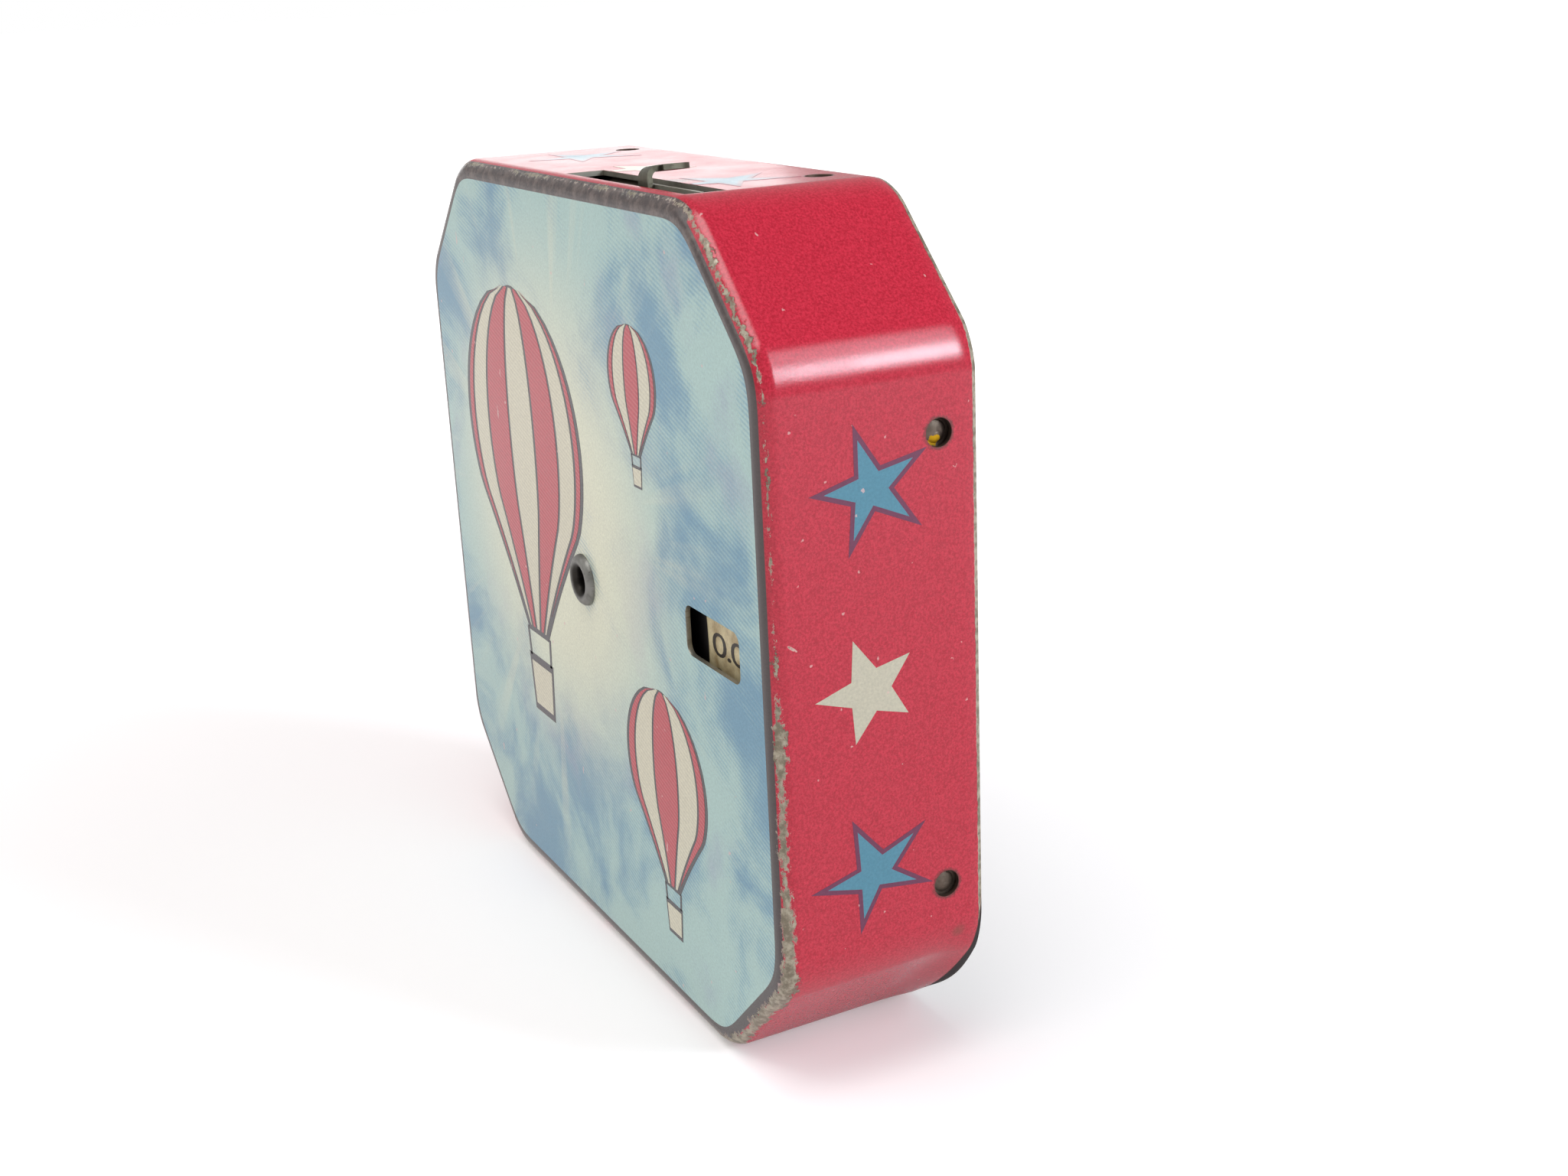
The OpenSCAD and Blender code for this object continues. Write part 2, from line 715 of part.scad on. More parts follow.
module spring_posts() {
    color("gray") place() for (p = spring_stops) {
        post(p, lever_back + layer_gap, tray_back, post_r);
        post(p, tray_back, tail_back, post_r + rivet_head_w);
    }
}

front_shell();
mechanism_tray();
back_cover();
cover_strike();
kick_spring();
coin_chute();
dial_arbor();
spacer_washer();
arbor_washer();
register_dial();
ratchet_wheel();
dial_rivets();
trip_stud();
coin_lever();
lever_rivet();
lever_spring();
drive_pawl();
pawl_stud();
holding_pawl();
holding_stud();
holding_spring();
latch_lever();
latch_rivet();
latch_spring();
spring_posts();
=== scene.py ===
# %% [markdown]
# # A tin coin register bank
# The real thing is a drawn tin box with eight sides, printed in red with stars. A dial behind a
# window counts the coins that go in at the top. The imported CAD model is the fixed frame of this
# lesson: it says where every piece is. Here we give each piece its finish, and remake the two
# sheet-metal pans with smooth bends, because a bend shows every facet in its gloss.

# %% Load the frame
import math

import bmesh
import bpy
from mathutils import Matrix, Vector


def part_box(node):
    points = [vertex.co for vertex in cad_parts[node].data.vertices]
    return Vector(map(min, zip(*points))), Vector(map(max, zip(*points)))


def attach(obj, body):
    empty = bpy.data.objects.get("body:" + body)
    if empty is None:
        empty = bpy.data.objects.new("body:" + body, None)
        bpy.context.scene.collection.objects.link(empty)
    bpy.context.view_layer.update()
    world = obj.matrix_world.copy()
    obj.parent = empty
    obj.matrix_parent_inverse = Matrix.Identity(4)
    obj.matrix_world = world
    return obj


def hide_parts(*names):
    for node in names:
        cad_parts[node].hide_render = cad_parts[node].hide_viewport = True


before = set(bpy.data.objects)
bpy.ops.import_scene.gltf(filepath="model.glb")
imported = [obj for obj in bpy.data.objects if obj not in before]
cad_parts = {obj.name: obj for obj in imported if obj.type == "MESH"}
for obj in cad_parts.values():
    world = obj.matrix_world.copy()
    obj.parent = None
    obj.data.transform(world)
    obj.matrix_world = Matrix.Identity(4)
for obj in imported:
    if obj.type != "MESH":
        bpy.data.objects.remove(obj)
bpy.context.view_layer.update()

# %% [markdown]
# ## Measures
# We model in millimetres, in the frame's own axes: X to the right, Y from the face to the back,
# Z up from the table. The case's size is read from its CAD node, so it can't drift. The bends are
# not in a box, so their radii stand here.

# %% Sizes of the case
MM = 0.001
case_low, case_high = (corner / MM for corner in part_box("front_shell"))
face_y = case_low.y
case_w = case_high.x - case_low.x
case_h = case_high.z - case_low.z
case_d = case_high.y - case_low.y
middle = case_h / 2
corner_leg = 9.8
corner_r = 5.0
front_r = 1.3
sheet = 0.4
rim_len = 1.4
rim_curl = 0.2
print("case:", round(case_w, 2), "x", round(case_d, 2), "x", round(case_h, 2), "mm")

# %% [markdown]
# ## Camera
# The photograph looks at the bank from the right and a little from above, so the face is seen
# at a slant. The camera stands at the place that fits the corners and holes of the case, with
# its three directions given as plain vectors. No shift and no depth of field are needed.

# %% Camera at the photograph's place
eye = Vector((133.685, -60.213, 76.142)) * MM
look_right = Vector((0.4768, 0.8780, -0.0424))
look_up = Vector((-0.2512, 0.1822, 0.9507))
look_back = Vector((0.8424, -0.4426, 0.3073))
camera_data = bpy.data.cameras.new("camera")
camera_data.sensor_fit = "HORIZONTAL"
camera_data.sensor_width = 36
camera_data.lens = 43.27
camera_data.clip_start = 0.005
camera = bpy.data.objects.new("camera", camera_data)
bpy.context.scene.collection.objects.link(camera)
turn = Matrix((look_right, look_up, look_back)).transposed().to_4x4()
camera.matrix_world = Matrix.Translation(eye) @ turn
bpy.context.scene.camera = camera
bpy.context.scene.view_settings.view_transform = "Standard"
print("camera:", round(eye.length / MM), "mm from the origin")

# %% [markdown]
# ## Nodes in short
# A material is a small graph. These few helpers add a node, fill its sockets with numbers or
# links, and hand back its output, so that a finish below reads almost like a sum. The same graphs
# could be wired by hand in the editor, but here a change to one number is a change in one place.

# %% Helpers for node trees
def put(tree, socket, value):
    """Link a socket to another one, or set its constant."""
    if isinstance(value, bpy.types.NodeSocket):
        tree.links.new(value, socket)
    else:
        socket.default_value = value


def add(tree, kind, values, out=0, **settings):
    """Add a node, fill the sockets that values names, and return one output."""
    node = tree.nodes.new(kind)
    for key, value in settings.items():
        setattr(node, key, value)
    for key, value in values.items():
        put(tree, node.inputs[key], value)
    return node.outputs[out]


def calc(tree, operation, a, b=0.0, c=0.0):
    """One step of arithmetic."""
    return add(tree, "ShaderNodeMath", {0: a, 1: b, 2: c}, operation=operation)


def plus(tree, a, b):
    return calc(tree, "ADD", a, b)


def less(tree, a, b):
    return calc(tree, "SUBTRACT", a, b)


def times(tree, a, b):
    return calc(tree, "MULTIPLY", a, b)


def fade(tree, value, low, high):
    """A smooth step from 0 at low to 1 at high."""
    return add(tree, "ShaderNodeMapRange", {"Value": value, "From Min": low, "From Max": high},
               interpolation_type="SMOOTHSTEP")


def between(tree, value, low, high):
    """Low where the value is 0, and high where it is 1."""
    return add(tree, "ShaderNodeMapRange", {"Value": value, "To Min": low, "To Max": high})


def spread(tree, value, low, high):
    """Stretch a noise's usual range over low to high."""
    return add(tree, "ShaderNodeMapRange", {"Value": value, "From Min": 0.3, "From Max": 0.7,
                                            "To Min": low, "To Max": high}, clamp=False)


def mixed(tree, factor, a, b):
    """One colour over another."""
    return add(tree, "ShaderNodeMix", {0: factor, 6: a, 7: b}, out=2, data_type="RGBA")


def noise(tree, place, scale, detail=2.0, roughness=0.5, distortion=0.0):
    """Cloudy noise between 0 and 1."""
    return add(tree, "ShaderNodeTexNoise", {"Vector": place, "Scale": scale, "Detail": detail,
                                            "Roughness": roughness, "Distortion": distortion})


def stretched(tree, place, scale, turn=(0, 0, 0), shift=(0, 0, 0)):
    """The place, turned and stretched for a pattern that runs one way."""
    return add(tree, "ShaderNodeMapping", {"Vector": place, "Location": shift, "Rotation": turn,
                                           "Scale": scale})


def far_from(tree, a, b):
    """The length of the hypotenuse over two distances."""
    return calc(tree, "SQRT", plus(tree, times(tree, a, a), times(tree, b, b)))


def ink(red, green, blue):
    """A print colour as a screen shows it, turned into the linear colour that Blender mixes."""
    def linear(level):
        level /= 255
        return level / 12.92 if level <= 0.04045 else ((level + 0.055) / 1.055) ** 2.4
    return (linear(red), linear(green), linear(blue), 1.0)


def new_finish(name):
    """A material with its tree, its shader, and the object's own place in millimetres."""
    material = bpy.data.materials.new(name)
    material.use_nodes = True
    tree = material.node_tree
    shader = tree.nodes["Principled BSDF"]
    place = tree.nodes.new("ShaderNodeTexCoord").outputs["Object"]
    place = add(tree, "ShaderNodeVectorMath", {0: place, "Scale": 1 / MM}, operation="SCALE")
    return material, tree, shader, place


print("helpers ready")

# %% [markdown]
# ## Light and floor
# The bank stands on white paper in a rather dim room. A tall window behind on the right draws the
# bright streak along the bend of the right side, a low one behind on the left whitens the top,
# which the eye almost skims, a lamp overhead lights the table, and the paper lays a pale haze on
# the walls. Here a lamp is given by its direction and by how bright it looks, where 1 is white:
# for gloss that says more than watts.

# %% World and lamps
def background_rays(tree, bounce):
    """1 for rays from the eye, and bounce for those that gloss and glass send on."""
    rays = tree.nodes.new("ShaderNodeLightPath").outputs
    bounced = calc(tree, "MAXIMUM", rays["Is Glossy Ray"], rays["Is Transmission Ray"])
    return calc(tree, "MAXIMUM", rays["Is Camera Ray"], times(tree, bounced, bounce))


paper_in_gloss = 0.42
room_low, room_overhead = 0.4, 0.25
world = bpy.data.worlds.new("room")
bpy.context.scene.world = world
world.use_nodes = True
room = world.node_tree
direction = room.nodes.new("ShaderNodeTexCoord").outputs["Generated"]
height = add(room, "ShaderNodeSeparateXYZ", {0: direction}, out=2)
dim = between(room, fade(room, height, 0.5, 0.9), room_low, room_overhead)
horizon = times(room, fade(room, height, 0.14, 0.05), paper_in_gloss)
seen = background_rays(room, horizon)
level = between(room, seen, dim, 1.0)
put(room, room.nodes["Background"].inputs["Color"], (1, 1, 1, 1))
put(room, room.nodes["Background"].inputs["Strength"], level)


def soft_lamp(name, bearing, rise, far, brightness, width, height, tint=(1, 1, 1)):
    """An area lamp that looks at the case from a bearing and a rise in degrees."""
    data = bpy.data.lights.new(name, "AREA")
    data.shape = "RECTANGLE"
    data.size = width
    data.size_y = height
    data.energy = brightness * math.pi * width * height
    data.color = tint
    lamp = bpy.data.objects.new(name, data)
    bpy.context.scene.collection.objects.link(lamp)
    turn = Matrix.Rotation(math.radians(bearing), 3, "Z") @ Matrix.Rotation(-math.radians(rise), 3, "Y")
    away = turn @ Vector((far, 0, 0))
    lamp.location = Vector((0, 0, middle * MM)) + away
    lamp.rotation_euler = away.to_track_quat("Z", "Y").to_euler()
    lamp.visible_camera = False


daylight = (0.82, 0.91, 1.0)
soft_lamp("window_right", bearing=34, rise=23, far=0.55, brightness=25.0, width=0.14, height=0.12,
          tint=daylight)
soft_lamp("window_right_top", bearing=37, rise=38, far=0.55, brightness=5.0, width=0.14, height=0.17,
          tint=daylight)
soft_lamp("window_left", bearing=167, rise=8, far=0.8, brightness=1.35, width=0.46, height=0.24)
soft_lamp("room_front", bearing=-115, rise=33, far=0.72, brightness=1.3, width=0.6, height=0.5)
soft_lamp("ceiling", bearing=-60, rise=76, far=0.7, brightness=4.9, width=0.4, height=0.4)
print("lamps:", len(bpy.data.lights))

# %% [markdown]
# The paper is a plain white sheet. To the eye, and in reflections, it glows a little, more with
# distance, so that it ends in white without putting more light on the bank. Its shadow stays.

# %% Floor
floor_half = 8
paper_white = (0.83, 0.795, 0.795, 1)
glow_near, glow_far = 0.25, 0.8
glow_from, glow_to = 45, 250
bm = bmesh.new()
bmesh.ops.create_grid(bm, x_segments=1, y_segments=1, size=floor_half)
floor_mesh = bpy.data.meshes.new("floor")
bm.to_mesh(floor_mesh)
bm.free()
floor = bpy.data.objects.new("floor", floor_mesh)
bpy.context.scene.collection.objects.link(floor)
paper, tree, shader, place = new_finish("white_paper")
put(tree, shader.inputs["Base Color"], paper_white)
put(tree, shader.inputs["Roughness"], 0.9)
put(tree, shader.inputs["Emission Color"], (1, 1, 1, 1))
distance = add(tree, "ShaderNodeVectorMath", {0: place}, out="Value", operation="LENGTH")
glow = between(tree, fade(tree, distance, glow_from, glow_to), glow_near, glow_far)
glow = times(tree, background_rays(tree, paper_in_gloss), glow)
put(tree, shader.inputs["Emission Strength"], glow)
floor_mesh.materials.append(paper)
print("floor:", 2 * floor_half, "m wide")

# %% [markdown]
# ## Lithographed tin
# The tin was printed flat and varnished before it was drawn into shape. Close up the ink is a
# little grainy, the varnish is glossy but not smooth, and small knocks have left pale scuffs in
# it. Where a bend has been rubbed, the ink is gone down to the grey tin, with a chipped edge
# round the bare place. A painted image would give all this at one size only, so one function
# builds the coat from noises. Each caller passes in how the ink looks and, where it needs to,
# how far it is worn and where the gloss is dulled.

# %% Coat of ink and varnish
bare_light = ink(178, 168, 148)
bare_dark = ink(122, 112, 94)
scuff_ink = ink(226, 184, 180)
chip_pale = ink(214, 178, 168)
chip_dark = ink(52, 40, 38)
speck_cells = ((0.62, 0.62, 0.62), (0, 0, 0))
dash_cells = ((0.6, 0.5, 0.17), (0.3, 0, 0))


def scuffs(tree, place):
    """Pale specks and dashes in the varnish. Only some cells of the pattern hold one."""
    ragged = add(tree, "ShaderNodeTexNoise", {"Vector": place, "Scale": 2.5, "Detail": 3.0}, out="Color")
    ragged = add(tree, "ShaderNodeVectorMath", {0: ragged, "Scale": 0.5}, operation="SCALE")
    shaken = add(tree, "ShaderNodeVectorMath", {0: place, 1: ragged}, operation="ADD")
    marks = 0.0
    for scale, turn in (speck_cells, dash_cells):
        cells = stretched(tree, shaken, scale, turn)
        distance = add(tree, "ShaderNodeTexVoronoi", {"Vector": cells, "Scale": 1.0}, out="Distance")
        lot = add(tree, "ShaderNodeSeparateColor", {0: distance.node.outputs["Color"]})
        size = times(tree, fade(tree, lot, 0.64, 1.0), 0.095)
        mark = fade(tree, less(tree, distance, size), 0.015, -0.015)
        marks = calc(tree, "MAXIMUM", marks, mark)
    return times(tree, marks, 0.6)


def lithographed(name, paint, worn=None, dull=None, gloss=0.2):
    """A printed and varnished coat. paint, worn and dull are functions of the tree and the place."""
    material, tree, shader, place = new_finish(name)
    grain = noise(tree, place, 5.0, detail=4.0, roughness=0.7)
    colour = add(tree, "ShaderNodeHueSaturation", {"Value": spread(tree, grain, 0.88, 1.12),
                                                   "Color": paint(tree, place)})
    marks = scuffs(tree, place)
    colour = mixed(tree, marks, colour, scuff_ink)
    height = less(tree, times(tree, grain, 0.35), times(tree, marks, 0.3))
    haze = noise(tree, place, 0.25, detail=3.0)
    rough = between(tree, haze, gloss - 0.06, gloss + 0.08)
    if worn:
        rub = worn(tree, place)
        side = fade(tree, noise(tree, place, 0.3, detail=1.0), 0.5, 0.56)
        chip = mixed(tree, side, chip_pale, chip_dark)
        colour = mixed(tree, times(tree, fade(tree, rub, 0.12, 0.32), 0.8), colour, chip)
        bare = fade(tree, rub, 0.36, 0.55)
        cloud = noise(tree, place, 1.8, detail=5.0, roughness=0.65)
        colour = mixed(tree, bare, colour, mixed(tree, fade(tree, cloud, 0.38, 0.64), bare_dark, bare_light))
        put(tree, shader.inputs["Metallic"], times(tree, bare, 0.3))
        rough = calc(tree, "MULTIPLY_ADD", bare, 0.16, rough)
        height = less(tree, height, rub)
    if dull:
        rough = calc(tree, "MULTIPLY_ADD", dull(tree, place), 0.5, rough)
    put(tree, shader.inputs["Base Color"], colour)
    put(tree, shader.inputs["Roughness"], rough)
    bump = add(tree, "ShaderNodeBump", {"Strength": 0.6, "Distance": 0.03 * MM, "Height": height})
    put(tree, shader.inputs["Normal"], bump)
    return material


print("coat ready")

# %% [markdown]
# ## The case's print
# The sheet runs from the face over the front bend to the wall. If s is how far a point lies in
# from the outline and d how far it lies behind the face, then t = d - s grows steadily along
# that way: about -1.5 mm where the face's picture ends, 0 in the middle of the bend, and the
# depth itself on the wall. So the grey border line, the red wall and the rubbed bend are all
# bands of t. The outline's eight sides are planes, joined by a smooth maximum for the bends. A UV
# map could hold the same bands, but it would have to be unwrapped again after every cut.

# %% Bands along the sheet
corner_blend = 2.46
face_edge = -1.5
border_edge = -0.45


def axes(tree, place):
    """Right, depth behind the face, and height above the dial's axis."""
    split = tree.nodes.new("ShaderNodeSeparateXYZ")
    put(tree, split.inputs[0], place)
    depth = less(tree, split.outputs[1], face_y)
    up = less(tree, split.outputs[2], middle)
    return split.outputs[0], depth, up


def along_sheet(tree, right, depth, up):
    """The way t along the sheet, from the face over the bend to the wall."""
    wide = calc(tree, "ABSOLUTE", right)
    tall = calc(tree, "ABSOLUTE", up)
    beside = less(tree, wide, case_w / 2)
    above = less(tree, tall, case_h / 2)
    cut = less(tree, plus(tree, wide, tall), case_w / 2 + case_h / 2 - corner_leg)
    cut = times(tree, cut, math.sqrt(0.5))
    out = calc(tree, "SMOOTH_MAX", calc(tree, "SMOOTH_MAX", beside, cut, corner_blend), above, corner_blend)
    return plus(tree, depth, out)


print("border from", face_edge, "to", border_edge, "mm")

# %% [markdown]
# ## A printed sky
# The face carries a pale blue sky with cream light in it. Clouds come from two noises, and the
# light from the distance to one point with soft rays round it. The printer's screen of fine
# slanting lines is a sine that shifts the edge between the inks, so it shows most in the blue.

# %% Sky
sky_deep = ink(106, 152, 176)
sky_pale = ink(172, 202, 196)
sky_violet = ink(146, 154, 182)
sky_cream = ink(230, 228, 200)
light_x, light_up = -6.0, 4.0


def print_screen(tree, right, up):
    """Fine slanting lines between -1 and 1."""
    return calc(tree, "SINE", times(tree, calc(tree, "MULTIPLY_ADD", right, 0.35, up), 17.0))


def sky_paint(tree, place):
    """Blue clouds round a cream light."""
    right, _, up = axes(tree, place)
    screen = print_screen(tree, right, up)
    cloud = noise(tree, place, 0.085, detail=5.0, roughness=0.55, distortion=0.4)
    lined = calc(tree, "MULTIPLY_ADD", screen, 0.035, cloud)
    colour = mixed(tree, fade(tree, lined, 0.36, 0.58), sky_deep, sky_pale)
    veil = noise(tree, stretched(tree, place, (1, 1, 1), shift=(40, 0, 15)), 0.11, detail=4.0)
    veil = calc(tree, "MULTIPLY_ADD", screen, 0.02, veil)
    colour = mixed(tree, times(tree, fade(tree, veil, 0.56, 0.72), 0.45), colour, sky_violet)
    aside = less(tree, right, light_x)
    aloft = less(tree, up, light_up)
    far = far_from(tree, aside, aloft)
    bearing = calc(tree, "ARCTAN2", aloft, aside)
    spoke = add(tree, "ShaderNodeTexNoise", {"W": times(tree, bearing, 4.0), "Scale": 1.4,
                                             "Detail": 3.0}, noise_dimensions="1D")
    ray = times(tree, fade(tree, spoke, 0.5, 0.7), fade(tree, far, 36.0, 14.0))
    light = calc(tree, "MAXIMUM", fade(tree, far, 27.0, 9.0), times(tree, ray, 0.6))
    light = times(tree, light, fade(tree, lined, 0.22, 0.45))
    return mixed(tree, times(tree, light, 0.9), colour, sky_cream)


print("sky lit from", (light_x, light_up))

# %% [markdown]
# ## Red walls
# The walls are printed in a speckled red, and a grey border runs round the face. Small places on
# them differ: the ink has browned round the punched holes, and one stain sits low on the right
# wall. At the lower right corner the rim was knocked outwards, and there it is painted black as
# shade. These are only colour, so no piece is made for them. Each is a distance from a named place,
# and a soft step of that distance says where one colour gives way to the next.

# %% Case paint
red_light, red_dark = ink(200, 42, 64), ink(172, 24, 46)
border_dark, border_pale = ink(76, 66, 65), ink(118, 104, 98)
# The last colour on the next line is painted shade, for the rim at the knocked corner.
ring_brown, stain_brown, rim_shade_black = ink(92, 40, 38), ink(112, 66, 52), ink(30, 25, 22)
top_border = 0.95
stain_depth, stain_up = 14.2, -21.0
hole_d, hole_offset, hole_drop, hole_back = 2.0, 16.4, 0.5, 3.05
knock_x = case_w / 2 - corner_leg / 2
knock_up = corner_leg / 2 - case_h / 2
knock_shift = 0.7
knock_reach = 8.4
# How far forward from the rim the painted shade reaches at the middle of the knock.
rim_shade_reach = 0.75


def on_right_wall(tree, right):
    """1 on the right wall only."""
    return fade(tree, right, 25.0, 28.0)


def hole_rim(tree, right, depth, up):
    """Distance from the axis of the nearest wall hole."""
    on_side = calc(tree, "GREATER_THAN", calc(tree, "ABSOLUTE", right), calc(tree, "ABSOLUTE", up))
    beside = times(tree, up, calc(tree, "SIGN", right))
    above = times(tree, right, times(tree, calc(tree, "SIGN", up), -1.0))
    along = add(tree, "ShaderNodeMix", {0: on_side, 2: above, 3: beside}, data_type="FLOAT")
    along = calc(tree, "ABSOLUTE", plus(tree, along, hole_drop))
    return far_from(tree, less(tree, along, hole_offset),
                    less(tree, depth, case_d - hole_back))


def knocked_rim_shade(tree, right, depth, up):
    """1 on the crescent of rim at the knocked corner that is painted black as shade."""
    along = plus(tree, less(tree, right, knock_x), less(tree, up, knock_up))
    along = calc(tree, "MULTIPLY_ADD", along, math.sqrt(0.5) / knock_reach, -knock_shift / knock_reach)
    black = calc(tree, "MULTIPLY_ADD", times(tree, along, along), -rim_shade_reach, rim_shade_reach)
    black = fade(tree, plus(tree, depth, black), case_d - 0.08, case_d + 0.08)
    return times(tree, black, fade(tree, less(tree, right, up), 38.0, 43.0))


def case_paint(tree, place):
    """Sky, border and red, each with its stains."""
    right, depth, up = axes(tree, place)
    way = along_sheet(tree, right, depth, up)
    rubbed = fade(tree, noise(tree, place, 0.9, detail=6.0, roughness=0.7), 0.4, 0.7)
    rubbed = times(tree, rubbed, fade(tree, up, 20.0, 29.0))
    border = mixed(tree, rubbed, border_dark, border_pale)
    on_border = fade(tree, way, face_edge - 0.03, face_edge + 0.03)
    colour = mixed(tree, on_border, sky_paint(tree, place), border)
    edge = calc(tree, "MULTIPLY_ADD", fade(tree, up, 29.9, 30.7), -top_border, way)
    speckle = noise(tree, place, 5.5, detail=3.0, roughness=0.75)
    red = mixed(tree, fade(tree, speckle, 0.36, 0.64), red_dark, red_light)
    stain = far_from(tree, less(tree, depth, stain_depth), less(tree, up, stain_up))
    stain = times(tree, fade(tree, stain, 0.8, 0.1), on_right_wall(tree, right))
    red = mixed(tree, times(tree, stain, 0.5), red, stain_brown)
    ring = plus(tree, hole_rim(tree, right, depth, up), spread(tree, speckle, -0.1, 0.1))
    ring = fade(tree, ring, hole_d / 2 + 0.32, hole_d / 2)
    red = mixed(tree, times(tree, ring, 0.85), red, ring_brown)
    colour = mixed(tree, fade(tree, edge, border_edge - 0.05, border_edge + 0.05), colour, red)
    # Last comes the painted shade: the rim at the knocked corner goes black.
    return mixed(tree, knocked_rim_shade(tree, right, depth, up), colour, rim_shade_black)


print("wall holes:", hole_d, "mm across")

# %% [markdown]
# ## Wear on the bends
# Hands have rubbed the front bend: bare tin below the window, flecks beside it, and scratches
# round the upper corner. The half-width of the bare band is a sum of soft steps along the bend,
# made ragged by two noises: a coarse one for clusters and a fine one for flecks. Pointiness could
# find the bends too, but it would rub them all alike. The cut rear rim is bare as well, and one
# short scuff slants across the wall beside the window.

# %% Case wear
wear_middle = 0.12
wear_beside, wear_below = -0.08, 0.5
wear_lower_corner, wear_upper_corner = 0.26, 0.2
scuff_depth, scuff_up = 1.55, 3.2


def scuffed_wall(tree, right, depth, up):
    """1 on one slanting scuff behind the front bend of the right wall."""
    back = less(tree, depth, scuff_depth)
    above = less(tree, up, scuff_up)
    along = less(tree, times(tree, back, 0.8), times(tree, above, 0.6))
    aside = plus(tree, times(tree, back, 0.6), times(tree, above, 0.8))
    far = far_from(tree, times(tree, along, 0.24), aside)
    return times(tree, fade(tree, far, 0.14, 0.06), on_right_wall(tree, right))


def case_wear(tree, place):
    """How far the ink is rubbed away: 0 where it is sound and 1 where the tin is bare."""
    right, depth, up = axes(tree, place)
    way = along_sheet(tree, right, depth, up)
    ragged = noise(tree, stretched(tree, place, (1, 1, 0.55)), 2.4, detail=6.0, roughness=0.75)
    patch = noise(tree, place, 0.3, detail=3.0)
    wide = calc(tree, "MULTIPLY_ADD", fade(tree, up, 1.5, -3.0), wear_below, wear_beside)
    lower_right = fade(tree, less(tree, right, up), 44.0, 52.0)
    wide = calc(tree, "MULTIPLY_ADD", lower_right, wear_lower_corner, wide)
    upper_right = fade(tree, plus(tree, right, up), 45.0, 50.0)
    upper_right = times(tree, upper_right, fade(tree, up, 24.0, 28.0))
    wide = calc(tree, "MULTIPLY_ADD", upper_right, wear_upper_corner, wide)
    wide = plus(tree, wide, spread(tree, patch, -0.32, 0.32))
    wide = plus(tree, wide, spread(tree, ragged, -0.55, 0.55))
    band = calc(tree, "ABSOLUTE", less(tree, way, wear_middle))
    rub = fade(tree, less(tree, wide, band), -0.2, 0.15)
    rim = plus(tree, depth, spread(tree, ragged, -0.06, 0.06))
    rim = fade(tree, rim, case_d - 0.36, case_d - 0.22)
    rub = calc(tree, "MAXIMUM", rub, rim)
    scuff = times(tree, scuffed_wall(tree, right, depth, up), spread(tree, ragged, 0.1, 0.9))
    rub = calc(tree, "MAXIMUM", rub, scuff)
    # No wear is drawn on the painted shade at the knocked rim.
    return times(tree, rub, less(tree, 1.0, knocked_rim_shade(tree, right, depth, up)))


def dulled_at_rim_shade(tree, place):
    """1 where the coat is dulled: on the rim at the knocked corner that is painted black as shade."""
    return knocked_rim_shade(tree, *axes(tree, place))


case_print = lithographed("red_lithographed_tin", case_paint, case_wear, dulled_at_rim_shade)
print("case print:", len(case_print.node_tree.nodes), "nodes")

# %% [markdown]
# ## Bare metal
# Inside and at the cut edges the tin is bare. In the punched holes it has browned, and it is
# painted darker still there as shade. The levers and rivets are plated steel that has gone dull. A
# plain metal would look new, so one function gives them all cloudy tarnish, fine rolling lines and
# a few scratches, in the colour and gloss that the piece needs. A colour may also be a function,
# where the piece isn't the same all over.

# %% Bare tin and steel
def dull_metal(name, clean, tarnish, gloss, lines=(0.4, 6.0, 0.4), dirty=0.5, patch=0.6):
    """Metal sheet or wire with patches of tarnish, fine lines and scratches."""
    material, tree, shader, place = new_finish(name)
    if callable(clean):
        clean = clean(tree, place)
    cloud = noise(tree, place, patch, detail=7.0, roughness=0.62, distortion=0.6)
    speck = noise(tree, place, 4.5, detail=2.0)
    dirt = calc(tree, "MAXIMUM", times(tree, fade(tree, cloud, 0.4, 0.75), dirty),
                fade(tree, speck, 0.7, 0.78))
    colour = mixed(tree, dirt, clean, tarnish)
    crossing = stretched(tree, place, (0.12, 0.5, 5.0), turn=(0, 0.5, 0))
    scratch = fade(tree, noise(tree, crossing, 0.9, detail=2.0), 0.66, 0.7)
    colour = mixed(tree, times(tree, scratch, 0.35), colour, tarnish)
    put(tree, shader.inputs["Base Color"], colour)
    put(tree, shader.inputs["Metallic"], 0.85)
    brushed = noise(tree, stretched(tree, place, lines), 1.6, detail=3.0)
    rough = calc(tree, "MULTIPLY_ADD", brushed, 0.16, gloss - 0.08)
    put(tree, shader.inputs["Roughness"], calc(tree, "MULTIPLY_ADD", dirt, 0.15, rough))
    height = less(tree, times(tree, brushed, 0.5), times(tree, dirt, 0.4))
    put(tree, shader.inputs["Normal"], add(tree, "ShaderNodeBump", {
        "Strength": 0.3, "Distance": 0.02 * MM, "Height": height}))
    return material


bare_tin = dull_metal("bare_tin", ink(176, 172, 160), ink(116, 106, 90), 0.4)
# The hole metal is browned tin, painted darker still as shade inside the holes.
hole_tin = dull_metal("hole_tin", ink(98, 80, 70), ink(58, 44, 38), 0.55)
print("tin ready:", bare_tin.name, "and", hole_tin.name)

# %% [markdown]
# ## Drawn pans
# A press draws a flat blank into a pan: a flat bottom, a rounded edge and upright walls. We do
# the same. A square plate gets its corners cut, the eight corners that leaves are rounded, the
# outline is pulled back into a wall, and the edge between them is bevelled round. A bevel keeps
# one radius all the way round, which a subdivision surface would not.

# %% Draw a pan from a plate
bend_segments = 12


def points(made):
    """The vertices among what an operator made."""
    return [g for g in made if isinstance(g, bmesh.types.BMVert)]


def stand(bm):
    """Turn a shape that was drawn lying flat so that it stands and faces -Y."""
    bmesh.ops.rotate(bm, matrix=Matrix.Rotation(math.pi / 2, 3, "X"), verts=bm.verts)


